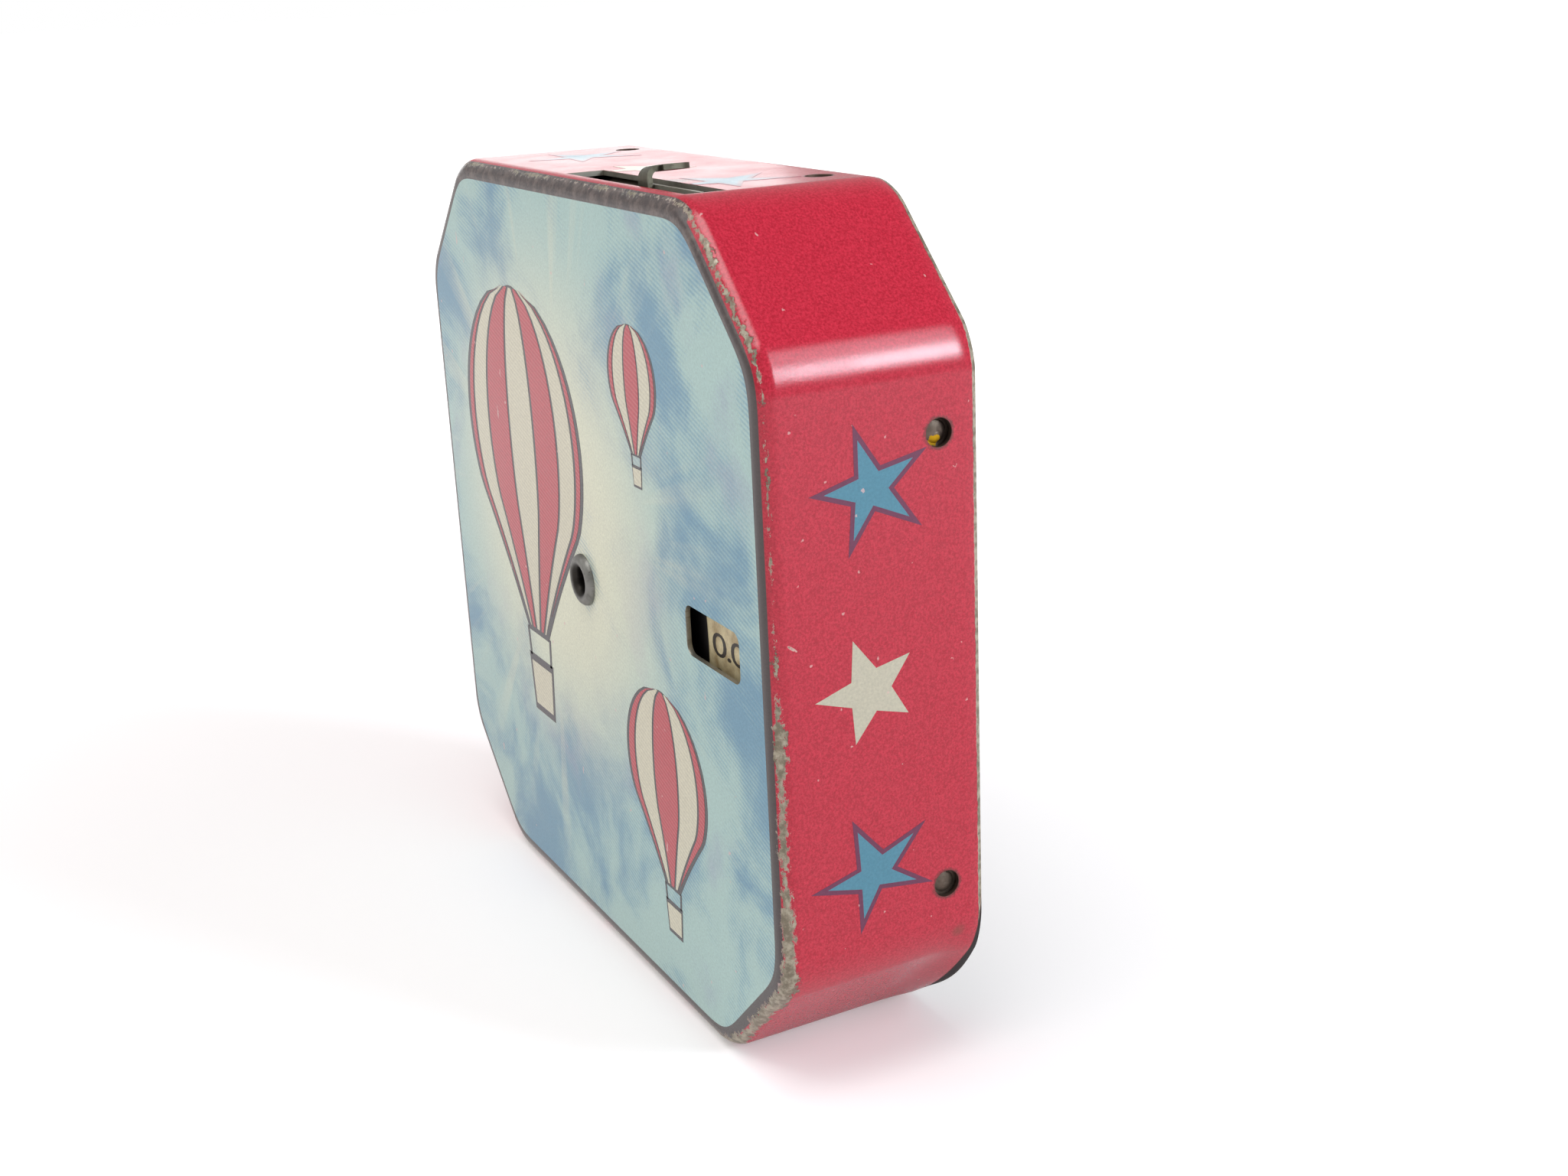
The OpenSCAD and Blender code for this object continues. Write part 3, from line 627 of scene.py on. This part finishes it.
def pulled(bm, edges, depth, shrink=0.0):
    """Pull open edges back along Y, drawn in towards the middle. Returns the new open edges."""
    made = bmesh.ops.extrude_edge_only(bm, edges=edges)["geom"]
    verts = points(made)
    bmesh.ops.translate(bm, vec=(0, depth, 0), verts=verts)
    around = Matrix.Translation((0, 0, -middle))
    bmesh.ops.scale(bm, vec=(1 - 2 * shrink / case_w, 1, 1 - 2 * shrink / case_h), space=around, verts=verts)
    return [g for g in made if isinstance(g, bmesh.types.BMEdge)]


def drawn_pan(inset, depth, edge_r, edge_segments):
    """A pan's outer skin with its bottom at Y = 0, open towards +Y. Returns it with its open edges."""
    bm = bmesh.new()
    bmesh.ops.create_grid(bm, x_segments=1, y_segments=1, size=0.5)
    bmesh.ops.scale(bm, vec=(case_w - 2 * inset, case_h - 2 * inset, 1), verts=bm.verts)
    leg = corner_leg - inset * (2 - math.sqrt(2))
    bmesh.ops.bevel(bm, geom=bm.verts[:], offset=leg, segments=1, profile=0.5, material=-1,
                    affect="VERTICES")
    bmesh.ops.bevel(bm, geom=bm.verts[:], offset=(corner_r - inset) * math.tan(math.pi / 8),
                    segments=bend_segments, profile=0.5, material=-1, affect="VERTICES")
    stand(bm)
    bmesh.ops.translate(bm, vec=(0, 0, middle), verts=bm.verts)
    front = bm.edges[:]
    pulled(bm, front, depth)
    bmesh.ops.bevel(bm, geom=front, offset=edge_r, segments=edge_segments, profile=0.5, material=-1,
                    affect="EDGES")
    return bm, [e for e in bm.edges if e.is_boundary]


print("pans bend in", bend_segments, "steps")

# %% [markdown]
# Every new piece is made from a mesh in the same way, and most ride on a CAD body. The pans and
# the punches are also shaded smooth with creases at their edges, and the pans' modifiers are
# settled into them. A pan's skin also gets the thickness of the sheet, and weighted normals, which
# keep its flat walls looking flat where they meet small bends.

# %% From mesh to piece
skin_crease, cut_crease = 35, 50


def make_piece(name, bm, materials, body="case"):
    """Turn a bmesh in millimetres into a piece in metres that rides on a body."""
    bmesh.ops.recalc_face_normals(bm, faces=bm.faces[:])
    bmesh.ops.scale(bm, vec=(MM, MM, MM), verts=bm.verts)
    mesh = bpy.data.meshes.new(name)
    bm.to_mesh(mesh)
    bm.free()
    for material in materials:
        mesh.materials.append(material)
    piece = bpy.data.objects.new(name, mesh)
    bpy.context.scene.collection.objects.link(piece)
    if body:
        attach(piece, body)
    return piece


def dyed(faces, index):
    """Give faces one of the piece's materials."""
    for face in faces:
        face.material_index = index


def smoothed(mesh, angle):
    """Shade a mesh smooth, with creases where it turns by more than an angle in degrees."""
    mesh.polygons.foreach_set("use_smooth", [True] * len(mesh.polygons))
    mesh.set_sharp_from_angle(angle=math.radians(angle))


def settled(piece):
    """Replace a piece's mesh by what its modifiers make of it."""
    graph = bpy.context.evaluated_depsgraph_get()
    made = bpy.data.meshes.new_from_object(piece.evaluated_get(graph))
    piece.modifiers.clear()
    old = piece.data
    piece.data = made
    made.name = piece.name
    bpy.data.meshes.remove(old)


def sheet_wall(piece):
    """A modifier that gives a skin the thickness of the sheet, inwards."""
    wall = piece.modifiers.new("sheet", "SOLIDIFY")
    wall.thickness = sheet * MM
    wall.offset = -1
    wall.use_even_offset = True
    return wall


def evened(piece, angle):
    """Shade a piece smooth, with its large faces ruling the normals."""
    smoothed(piece.data, angle)
    even = piece.modifiers.new("even_shading", "WEIGHTED_NORMAL")
    even.keep_sharp = True
    settled(piece)


print("sheet:", sheet, "mm thick")

# %% [markdown]
# ## The case
# The case is the larger pan, open at the back. The last stretch of its wall curls in, so it is
# pulled in short steps on a wide arc. One long pull with a bevel would curl it too, but the steps
# also leave the rows of points that the next cell needs.

# %% Skin of the case
front_segments = 8
knock_len = 4.2
knock_steps = 4
shell, rim = drawn_pan(0, case_d - knock_len, front_r, front_segments)
for step in range(knock_steps):
    rim = pulled(shell, rim, (knock_len - rim_len) / knock_steps)
curl_r = (rim_len ** 2 + rim_curl ** 2) / (2 * rim_curl)
curl_steps = 4
drawn_in = 0.0
for step in range(1, curl_steps + 1):
    reach = rim_len * step / curl_steps
    inward = curl_r - math.sqrt(curl_r ** 2 - reach ** 2)
    rim = pulled(shell, rim, rim_len / curl_steps, inward - drawn_in)
    drawn_in = inward
print("skin:", len(shell.faces), "faces")

# %% [markdown]
# At the lower right corner a knock has bulged the wall outwards. It could be sculpted, but a
# formula gives the same bulge on every run: the long edges there are subdivided, and the last
# rows are pushed out by a smooth hump.

# %% Knocked corner
knock_out = 1.2
knock_cuts = 11
knock_near = 2.0


def on_knocked_cut(edge):
    """True for a long edge across the cut corner at the lower right."""
    spot = (edge.verts[0].co + edge.verts[1].co) / 2
    corner = Vector((knock_x, spot.y, knock_up + middle))
    return edge.calc_length() > corner_leg / 2 and (spot - corner).length < knock_near


long_edges = [e for e in shell.edges if on_knocked_cut(e)]
bmesh.ops.subdivide_edges(shell, edges=long_edges, cuts=knock_cuts, use_grid_fill=True)
for vert in shell.verts:
    behind = max(0.0, (vert.co.y - case_d + knock_len) / knock_len)
    along = (vert.co.x - knock_x + vert.co.z - middle - knock_up) * math.sqrt(0.5)
    along = (along - knock_shift) / knock_reach
    if vert.co.x > 0 and vert.co.z < middle and abs(along) < 1:
        push = knock_out * behind ** 2 * (1 - along * along) ** 2
        vert.co += Vector((push, 0, -push)) * math.sqrt(0.5)
print("knocked corner:", len(long_edges), "edges subdivided")

# %% [markdown]
# The sheet gets its thickness, with bare tin inside. The window, the slot and the round holes are
# punched, as in the factory: one mesh holds all the punches, and each carries the metal that its
# cut edge shows, bare tin or, in the round holes, browned tin painted dark as shade.

# %% Sheet and punches
bmesh.ops.translate(shell, vec=(0, face_y, 0), verts=shell.verts)
case = make_piece("case_shell", shell, [case_print, bare_tin, hole_tin])
smoothed(case.data, skin_crease)
wall = sheet_wall(case)
wall.material_offset = 1
wall.material_offset_rim = 1
window_x, window_up, window_w, window_h, window_r = 18.8, -0.6, 8.3, 3.75, 0.8
slot_x, slot_end, slot_front, slot_back = -0.6, 20.0, 1.3, 4.35
arbor_hole_d = 3.24
punch_len = 4 * sheet
walls_across = (case_w, case_h, case_w, case_h)
# The punches' second metal, browned and painted dark as shade, goes to the round holes.
browned_shaded = 1
tools = bmesh.new()


def round_tool(across, spot):
    """A round punch through the sheet, of the punches' second metal."""
    made = bmesh.ops.create_cone(tools, cap_ends=True, segments=40, radius1=across / 2, radius2=across / 2,
                                 depth=punch_len, matrix=spot)["verts"]
    dyed({f for v in made for f in v.link_faces}, browned_shaded)


def to_wall(quarter):
    """The turn about the dial's axis from the right wall to the next walls, anticlockwise."""
    return Matrix.Translation((0, 0, middle)) @ Matrix.Rotation(-quarter * math.pi / 2, 4, "Y")


made = bmesh.ops.create_grid(tools, x_segments=1, y_segments=1, size=0.5)["verts"]
bmesh.ops.scale(tools, vec=(window_w, window_h, 1), verts=made)
bmesh.ops.bevel(tools, geom=made, offset=window_r, segments=8, profile=0.5, material=-1, affect="VERTICES")
stand(tools)
corner = (window_x + window_w / 2, face_y - sheet, middle + window_up + window_h / 2)
bmesh.ops.translate(tools, vec=corner, verts=tools.verts)
made = bmesh.ops.extrude_face_region(tools, geom=tools.faces[:])["geom"]
bmesh.ops.translate(tools, vec=(0, punch_len, 0), verts=points(made))
slot_size = Matrix.Diagonal((slot_end - slot_x, slot_back - slot_front, punch_len, 1))
slot_place = ((slot_x + slot_end) / 2, face_y + (slot_front + slot_back) / 2, case_h)
bmesh.ops.create_cube(tools, size=1, matrix=Matrix.Translation(slot_place) @ slot_size)
round_tool(arbor_hole_d, Matrix.Translation((0, face_y, middle)) @ Matrix.Rotation(math.pi / 2, 4, "X"))
for quarter, across in enumerate(walls_across):
    for side in (-1, 1):
        spot = Matrix.Translation((across / 2, face_y + case_d - hole_back, side * hole_offset - hole_drop))
        round_tool(hole_d, to_wall(quarter) @ spot @ Matrix.Rotation(math.pi / 2, 4, "Y"))
punches = make_piece("punches", tools, [bare_tin, hole_tin], body=None)
smoothed(punches.data, skin_crease)
print("punches:", len(punches.data.polygons), "faces")

# %% [markdown]
# One boolean makes all the cuts and hands the punches' metals on to the cut edges. A hair of
# bevel then breaks them, because no real edge is quite sharp, and the rear rim is trimmed flat.

# %% Cut the case
edge_break = 0.04
cut = case.modifiers.new("punched", "BOOLEAN")
cut.operation = "DIFFERENCE"
cut.solver = "EXACT"
cut.material_mode = "TRANSFER"
cut.object = punches
soft = case.modifiers.new("edges", "BEVEL")
soft.width = edge_break * MM
soft.segments = 2
soft.limit_method = "ANGLE"
soft.angle_limit = math.radians(cut_crease)
settled(case)
bpy.data.objects.remove(punches)
rear = (face_y + case_d) * MM
for vert in case.data.vertices:
    vert.co.y = min(vert.co.y, rear)
evened(case, cut_crease)
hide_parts("front_shell")
print("case:", len(case.data.polygons), "faces after the cuts")

# %% [markdown]
# ## Printed shapes
# A print that stands on the red has a crisp edge of its own, so each shape is a leaf of ink, a
# hundredth of a millimetre thick, lying on the sheet. A leaf starts as one face. Where it has a
# dark outline, an inset leaves a rim of the second ink round the first.

# %% Leaves of ink
ink_t = 0.012
ink_sunk = 0.008
outline_ink = 1
weld = 1e-4


def leaf(bm, corners, outline=0.0, lift=0.0):
    """A flat leaf of ink in the XZ plane, facing -Y, with an outline of the second ink."""
    verts = [bm.verts.new((x, -lift, z)) for x, z in corners]
    face = bmesh.ops.contextual_create(bm, geom=verts)["faces"]
    bm.normal_update()
    if outline:
        rim = bmesh.ops.inset_region(bm, faces=face, thickness=outline, use_boundary=True,
                                      use_even_offset=True)["faces"]
        dyed(rim, outline_ink)
        face = face + rim
    bmesh.ops.recalc_face_normals(bm, faces=face)
    if face[0].normal.y > 0:
        bmesh.ops.reverse_faces(bm, faces=face)
    return face


def thickened(bm):
    """Give every leaf its thickness, with its underside a little below the sheet's surface."""
    bm.normal_update()
    made = bmesh.ops.extrude_face_region(bm, geom=bm.faces[:], use_keep_orig=True)["geom"]
    bmesh.ops.translate(bm, vec=(0, -ink_t - ink_sunk, 0), verts=points(made))
    bmesh.ops.translate(bm, vec=(0, ink_sunk, 0), verts=bm.verts)


def joined(bm, part):
    """Move the mesh of one part into another."""
    mesh = bpy.data.meshes.new("part")
    part.to_mesh(mesh)
    part.free()
    bm.from_mesh(mesh)
    bpy.data.meshes.remove(mesh)


def plain_ink(name, colour, gloss=0.2):
    """An even print colour under the same varnish as the case."""
    return lithographed(name, lambda tree, place: colour, gloss=gloss)


star_blue = plain_ink("star_blue", ink(78, 134, 154))
star_violet = plain_ink("star_violet", ink(106, 46, 76))
star_cream = plain_ink("star_cream", ink(193, 186, 165))
print("star inks ready")

# %% [markdown]
# ## Stars on the walls
# Each wall has three hand-drawn stars: blue with a violet outline at the ends and cream in the
# middle. Their points are given as depth behind the face and place along the wall, taken on the
# right wall. The same row is then turned about the dial's axis to the other three walls. On the
# top wall, the slot cuts the front points off two of them.

# %% Stars
upper_star = ((6.6, 17.4), (6.6, 14.0), (3.2, 13.1), (6.3, 12.0), (6.0, 8.5), (8.1, 11.4),
              (11.7, 9.8), (9.6, 12.75), (12.2, 15.1), (8.6, 14.4))
middle_star = ((6.1, 2.8), (5.9, -0.1), (3.1, -1.0), (5.9, -1.9), (6.1, -4.6), (7.8, -2.5),
               (10.3, -3.2), (9.0, -1.0), (10.5, 1.1), (7.85, 0.55))
lower_star = ((5.6, -10.1), (5.85, -13.8), (2.2, -14.8), (5.9, -15.7), (6.0, -18.85), (7.8, -15.8),
              (12.0, -16.4), (9.1, -14.45), (11.5, -11.5), (8.0, -12.85))
top_wall = 1
star_outline = 0.33
slot_margin = 0.08


def star_row(name, corners, outline, inks, slotted=False):
    """One star on each of the four walls."""
    bm = bmesh.new()
    for quarter, across in enumerate(walls_across):
        star = bmesh.new()
        leaf(star, corners, outline)
        if slotted and quarter == top_wall:
            bmesh.ops.bisect_plane(star, geom=star.verts[:] + star.edges[:] + star.faces[:], clear_inner=True,
                                   plane_co=(slot_back + slot_margin, 0, 0), plane_no=(1, 0, 0))
        thickened(star)
        on_wall = Matrix.Translation((across / 2, face_y, 0)) @ Matrix.Rotation(math.pi / 2, 4, "Z")
        bmesh.ops.transform(star, matrix=to_wall(quarter) @ on_wall, verts=star.verts)
        joined(bm, star)
    return make_piece(name, bm, inks)


star_row("upper_stars", upper_star, star_outline, [star_blue, star_violet])
star_row("middle_stars", middle_star, 0.0, [star_cream], slotted=True)
star_row("lower_stars", lower_star, star_outline, [star_blue, star_violet], slotted=True)
print("stars on four walls")

# %% [markdown]
# ## Balloons on the face
# The picture on the face is a plain one: striped balloons in the sky, in red and cream with
# dark outlines. A balloon is a dark leaf with narrow gores on it. Each gore starts as a grid,
# and its rows are moved to the balloon's half-width at their height, so the dark leaf shows
# between the gores as the outline. Their inks carry the printer's screen too.

# %% Balloons
def screened_ink(name, colour, shade):
    """A print colour with the fine lines of the printer's screen in it."""
    def paint(tree, place):
        right, _, up = axes(tree, place)
        lines = fade(tree, print_screen(tree, right, up), -0.2, 0.9)
        return mixed(tree, times(tree, lines, 0.5), colour, shade)
    return lithographed(name, paint)


picture_red = screened_ink("picture_red", ink(190, 62, 74), ink(206, 104, 108))
picture_cream = screened_ink("picture_cream", ink(218, 212, 188), ink(196, 188, 166))
picture_dark = plain_ink("picture_dark", ink(70, 66, 70))
red_ink, cream_ink, dark_ink = 0, 1, 2
mouth, shoulder, crown = -1.4, -0.5, 1.0
basket_share, basket_drop = 0.19, 1.78


def half_width(height):
    """A balloon's half-width over its radius: round above the shoulder, tapered down to the mouth."""
    if height > shoulder:
        return math.sqrt(max(0.0, 1 - height * height))
    taper = (height - shoulder) / (shoulder - mouth)
    return 0.866 + 0.72 * taper + 0.12 * taper * (1 + taper)


def gore(bm, centre, radius, low, high, left, right, shrink, lift, ink_index):
    """One strip of a balloon between two bearings, drawn in by the width of the outline."""
    rows = 28
    made = bmesh.ops.create_grid(bm, x_segments=1, y_segments=rows, size=0.5)["verts"]
    for vert in made:
        height = low + (high - low) * (vert.co.y + 0.5)
        side = left if vert.co.x < 0 else right
        inward = shrink if vert.co.x < 0 else -shrink
        across = side * half_width(height) * radius + inward
        middle_line = (left + right) / 2 * half_width(height) * radius
        if (across - middle_line) * vert.co.x < 0:
            across = middle_line
        vert.co = (centre[0] + across, -lift, centre[1] + height * radius)
    dyed({f for v in made for f in v.link_faces}, ink_index)


def balloon(name, centre, radius, gores, line):
    """A striped balloon with its basket."""
    bm = bmesh.new()
    gore(bm, centre, radius, mouth, crown, -1, 1, -line, 0.0, dark_ink)
    edges = [math.sin(math.pi * (i / gores - 0.5)) for i in range(gores + 1)]
    for i in range(gores):
        stripe = cream_ink if i % 2 else red_ink
        gore(bm, centre, radius, mouth + 0.04, crown - 0.015, edges[i], edges[i + 1], line / 2, ink_t, stripe)
    basket = radius * basket_share
    down = centre[1] - radius * basket_drop
    weave = leaf(bm, [(centre[0] + x * basket, down + z * basket) for x, z in
                      ((-1.15, 1.1), (-0.95, -1.1), (0.95, -1.1), (1.15, 1.1))])
    front = leaf(bm, [(centre[0] + x * basket, down + z * basket) for x, z in
                      ((-0.95, 0.8), (-0.8, -0.85), (0.8, -0.85), (0.95, 0.8))], lift=ink_t)
    for side in (-1, 1):
        top = (centre[0] + side * radius * 0.2, centre[1] - radius * 1.38)
        foot = (centre[0] + side * basket * 0.95, down + basket)
        weave += leaf(bm, [(top[0] - line / 2, top[1]), (foot[0] - line / 2, foot[1]),
                           (foot[0] + line / 2, foot[1]), (top[0] + line / 2, top[1])])
    dyed(weave, dark_ink)
    dyed(front, cream_ink)
    bmesh.ops.remove_doubles(bm, verts=bm.verts, dist=weld)
    bm.normal_update()
    bmesh.ops.reverse_faces(bm, faces=[f for f in bm.faces if f.normal.y > 0])
    thickened(bm)
    bmesh.ops.translate(bm, vec=(0, face_y, middle), verts=bm.verts)
    return make_piece(name, bm, [picture_red, picture_cream, picture_dark])


balloon("large_balloon", centre=(-11.5, 9.5), radius=12.5, gores=7, line=0.42)
balloon("small_balloon", centre=(13.5, -12.0), radius=6.8, gores=5, line=0.3)
balloon("far_balloon", centre=(12.0, 18.0), radius=4.0, gores=5, line=0.22)
print("three balloons")

# %% [markdown]
# ## The dial
# Behind the window turns a disc, black in the middle with a cream number ring. The disc is the
# CAD node itself, painted by the distance from its axis, because its shape is already right.

# %% Dial paint
dial_low, dial_high = (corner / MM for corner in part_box("register_dial"))
black_r = 19.9
dial_black, number_brown = ink(20, 17, 18), ink(48, 37, 27)
ring_cream, ring_aged = ink(228, 212, 170), ink(168, 142, 98)


def dial_paint(tree, place):
    """A black disc with an aged cream ring."""
    right, _, up = axes(tree, place)
    far = far_from(tree, right, up)
    age = noise(tree, place, 0.7, detail=5.0)
    cream = mixed(tree, fade(tree, age, 0.4, 0.75), ring_cream, ring_aged)
    return mixed(tree, fade(tree, far, black_r - 0.08, black_r + 0.08), dial_black, cream)


dial_print = lithographed("dial_print", dial_paint, gloss=0.42)
number_ink = plain_ink("number_ink", number_brown, gloss=0.45)
print("dial reaches", round(dial_high.x, 2), "mm")

# %% [markdown]
# The numbers are text turned into a mesh. Drawn in a material they would need an image, and a
# leaf of ink keeps its edge at any distance. They run outwards along the radius, one for each
# step, and clockwise, because the dial counts up as it turns the other way.

# %% Numbers
steps = 51
number_start, number_size, number_stretch = 20.55, 2.52, 1.95
number_spacing = 0.86
number_lead = 1.2
ring_of_numbers = bmesh.new()
for count in range(steps):
    curve = bpy.data.curves.new("number", "FONT")
    curve.body = f"{count // 10}.{count % 10}0"
    curve.size = number_size
    curve.space_character = number_spacing
    curve.align_y = "CENTER"
    curve.resolution_u = 4
    text = bpy.data.objects.new("number", curve)
    bpy.context.scene.collection.objects.link(text)
    graph = bpy.context.evaluated_depsgraph_get()
    graph.update()
    mesh = bpy.data.meshes.new_from_object(text.evaluated_get(graph))
    bpy.data.objects.remove(text)
    bpy.data.curves.remove(curve)
    number = bmesh.new()
    number.from_mesh(mesh)
    bpy.data.meshes.remove(mesh)
    bmesh.ops.remove_doubles(number, verts=number.verts, dist=weld)
    bmesh.ops.scale(number, vec=(number_stretch, 1, 1), verts=number.verts)
    stand(number)
    first = min(v.co.x for v in number.verts)
    bmesh.ops.translate(number, vec=(number_start - first, 0, 0), verts=number.verts)
    thickened(number)
    bearing = math.radians(360 / steps * count - number_lead)
    bmesh.ops.rotate(number, matrix=Matrix.Rotation(bearing, 3, "Y"), verts=number.verts)
    joined(ring_of_numbers, number)
bmesh.ops.translate(ring_of_numbers, vec=(0, dial_low.y, middle), verts=ring_of_numbers.verts)
reach = max(math.hypot(v.co.x, v.co.z - middle) for v in ring_of_numbers.verts)
numbers = make_piece("dial_numbers", ring_of_numbers, [number_ink], body="register")
print("numbers:", len(numbers.data.polygons), "faces, out to", round(reach, 2), "mm")

# %% [markdown]
# ## The back cover
# The cover is a second pan, the other way round, that nests inside the wall, so the same function
# draws it. It is bare tin, rubbed and a little stained where fingers have lifted it.

# %% Cover pan
cover_low, cover_high = (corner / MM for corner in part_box("back_cover"))
cover_inset = (case_w - (cover_high.x - cover_low.x)) / 2
cover_bend, cover_segments = 0.8, 5
cover_tin = dull_metal("cover_tin", ink(186, 182, 172), ink(120, 108, 90), 0.34, lines=(8.0, 0.5, 0.3),
                       dirty=0.45, patch=0.12)
pan, _ = drawn_pan(cover_inset, cover_high.y - cover_low.y, cover_bend, cover_segments)
bmesh.ops.rotate(pan, matrix=Matrix.Rotation(math.pi, 3, "Z"), verts=pan.verts)
bmesh.ops.translate(pan, vec=(0, cover_high.y, 0), verts=pan.verts)
cover = make_piece("cover_pan", pan, [cover_tin], body="cover")
smoothed(cover.data, skin_crease)
sheet_wall(cover)
settled(cover)
evened(cover, cut_crease)
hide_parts("back_cover")
print("cover:", len(cover.data.polygons), "faces")

# %% [markdown]
# ## Everything else
# The remaining pieces keep their CAD shapes, which are exact, and get the metal they are made
# of: dull plated strip for the lever, blue-grey wire for the springs, and a rolled eyelet in the
# middle of the face that is dark inside. The tray is dull, with painted shade on the dimples
# that fill the holes of the case, and a fleck of yellow on one of them.

# %% Metals of the CAD nodes
fleck_place = (31.4, face_y + 12.95, middle + 15.35)
eyelet_bore, eyelet_rim = ink(52, 49, 45), ink(136, 135, 130)
# The middle colour on the next line is painted shade, for the dimples in the wall holes.
tray_dull, tray_hole_shade, fleck_yellow = ink(112, 99, 88), ink(40, 26, 21), ink(196, 152, 22)


def eyelet_colour(tree, place):
    """Dark inside the eyelet and grey on its rolled rim."""
    right, _, up = axes(tree, place)
    return mixed(tree, fade(tree, far_from(tree, right, up), 1.2, 1.6), eyelet_bore, eyelet_rim)


def tray_colour(tree, place):
    """Dull tin with painted shade at the holes and one yellow fleck."""
    fleck = add(tree, "ShaderNodeVectorMath", {0: place, 1: fleck_place}, out="Value", operation="DISTANCE")
    fleck = plus(tree, fleck, spread(tree, noise(tree, place, 3.0), -0.15, 0.15))
    right, depth, up = axes(tree, place)
    # Painted shade on the dimples behind the holes of the case, stronger at the upper holes.
    hole_shade = plus(tree, depth, spread(tree, noise(tree, place, 2.0, detail=3.0), -0.25, 0.25))
    hole_shade = fade(tree, hole_shade, case_d - hole_back - 0.2, case_d - hole_back + 0.5)
    hole_shade = times(tree, hole_shade, fade(tree, hole_rim(tree, right, depth, up), 1.7, 1.2))
    hole_shade = times(tree, hole_shade, calc(tree, "MULTIPLY_ADD", fade(tree, up, -8.0, 8.0), 0.5, 0.4))
    colour = mixed(tree, hole_shade, tray_dull, tray_hole_shade)
    return mixed(tree, fade(tree, fleck, 0.42, 0.34), colour, fleck_yellow)


lever_steel = dull_metal("lever_steel", ink(104, 100, 86), ink(58, 54, 44), 0.45, dirty=0.8)
chute_tin = dull_metal("chute_tin", ink(182, 178, 164), ink(118, 108, 90), 0.42)
tray_tin = dull_metal("tray_tin", tray_colour, ink(62, 55, 45), 0.46, dirty=0.8)
stamped_steel = dull_metal("stamped_steel", ink(164, 164, 164), ink(112, 106, 98), 0.4)
spring_wire = dull_metal("spring_wire", ink(138, 140, 146), ink(84, 82, 82), 0.3)
rivet_steel = dull_metal("rivet_steel", ink(176, 172, 164), ink(116, 108, 96), 0.33)
eyelet_metal = dull_metal("eyelet_metal", eyelet_colour, ink(58, 52, 46), 0.45, dirty=0.6)
metals = {"coin_lever": lever_steel, "dial_arbor": eyelet_metal, "register_dial": dial_print,
          "mechanism_tray": tray_tin, "coin_chute": chute_tin}
for name in ("lever_spring", "holding_spring", "latch_spring", "kick_spring"):
    metals[name] = spring_wire
for name in ("lever_rivet", "latch_rivet", "dial_rivets", "pawl_stud", "holding_stud", "spring_posts",
             "trip_stud"):
    metals[name] = rivet_steel
replaced = ("front_shell", "back_cover")
for name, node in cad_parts.items():
    if name in replaced:
        continue
    for holder in node.material_slots:
        holder.material = metals.get(name, stamped_steel)
print("finished:", len(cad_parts) - len(replaced), "CAD nodes")
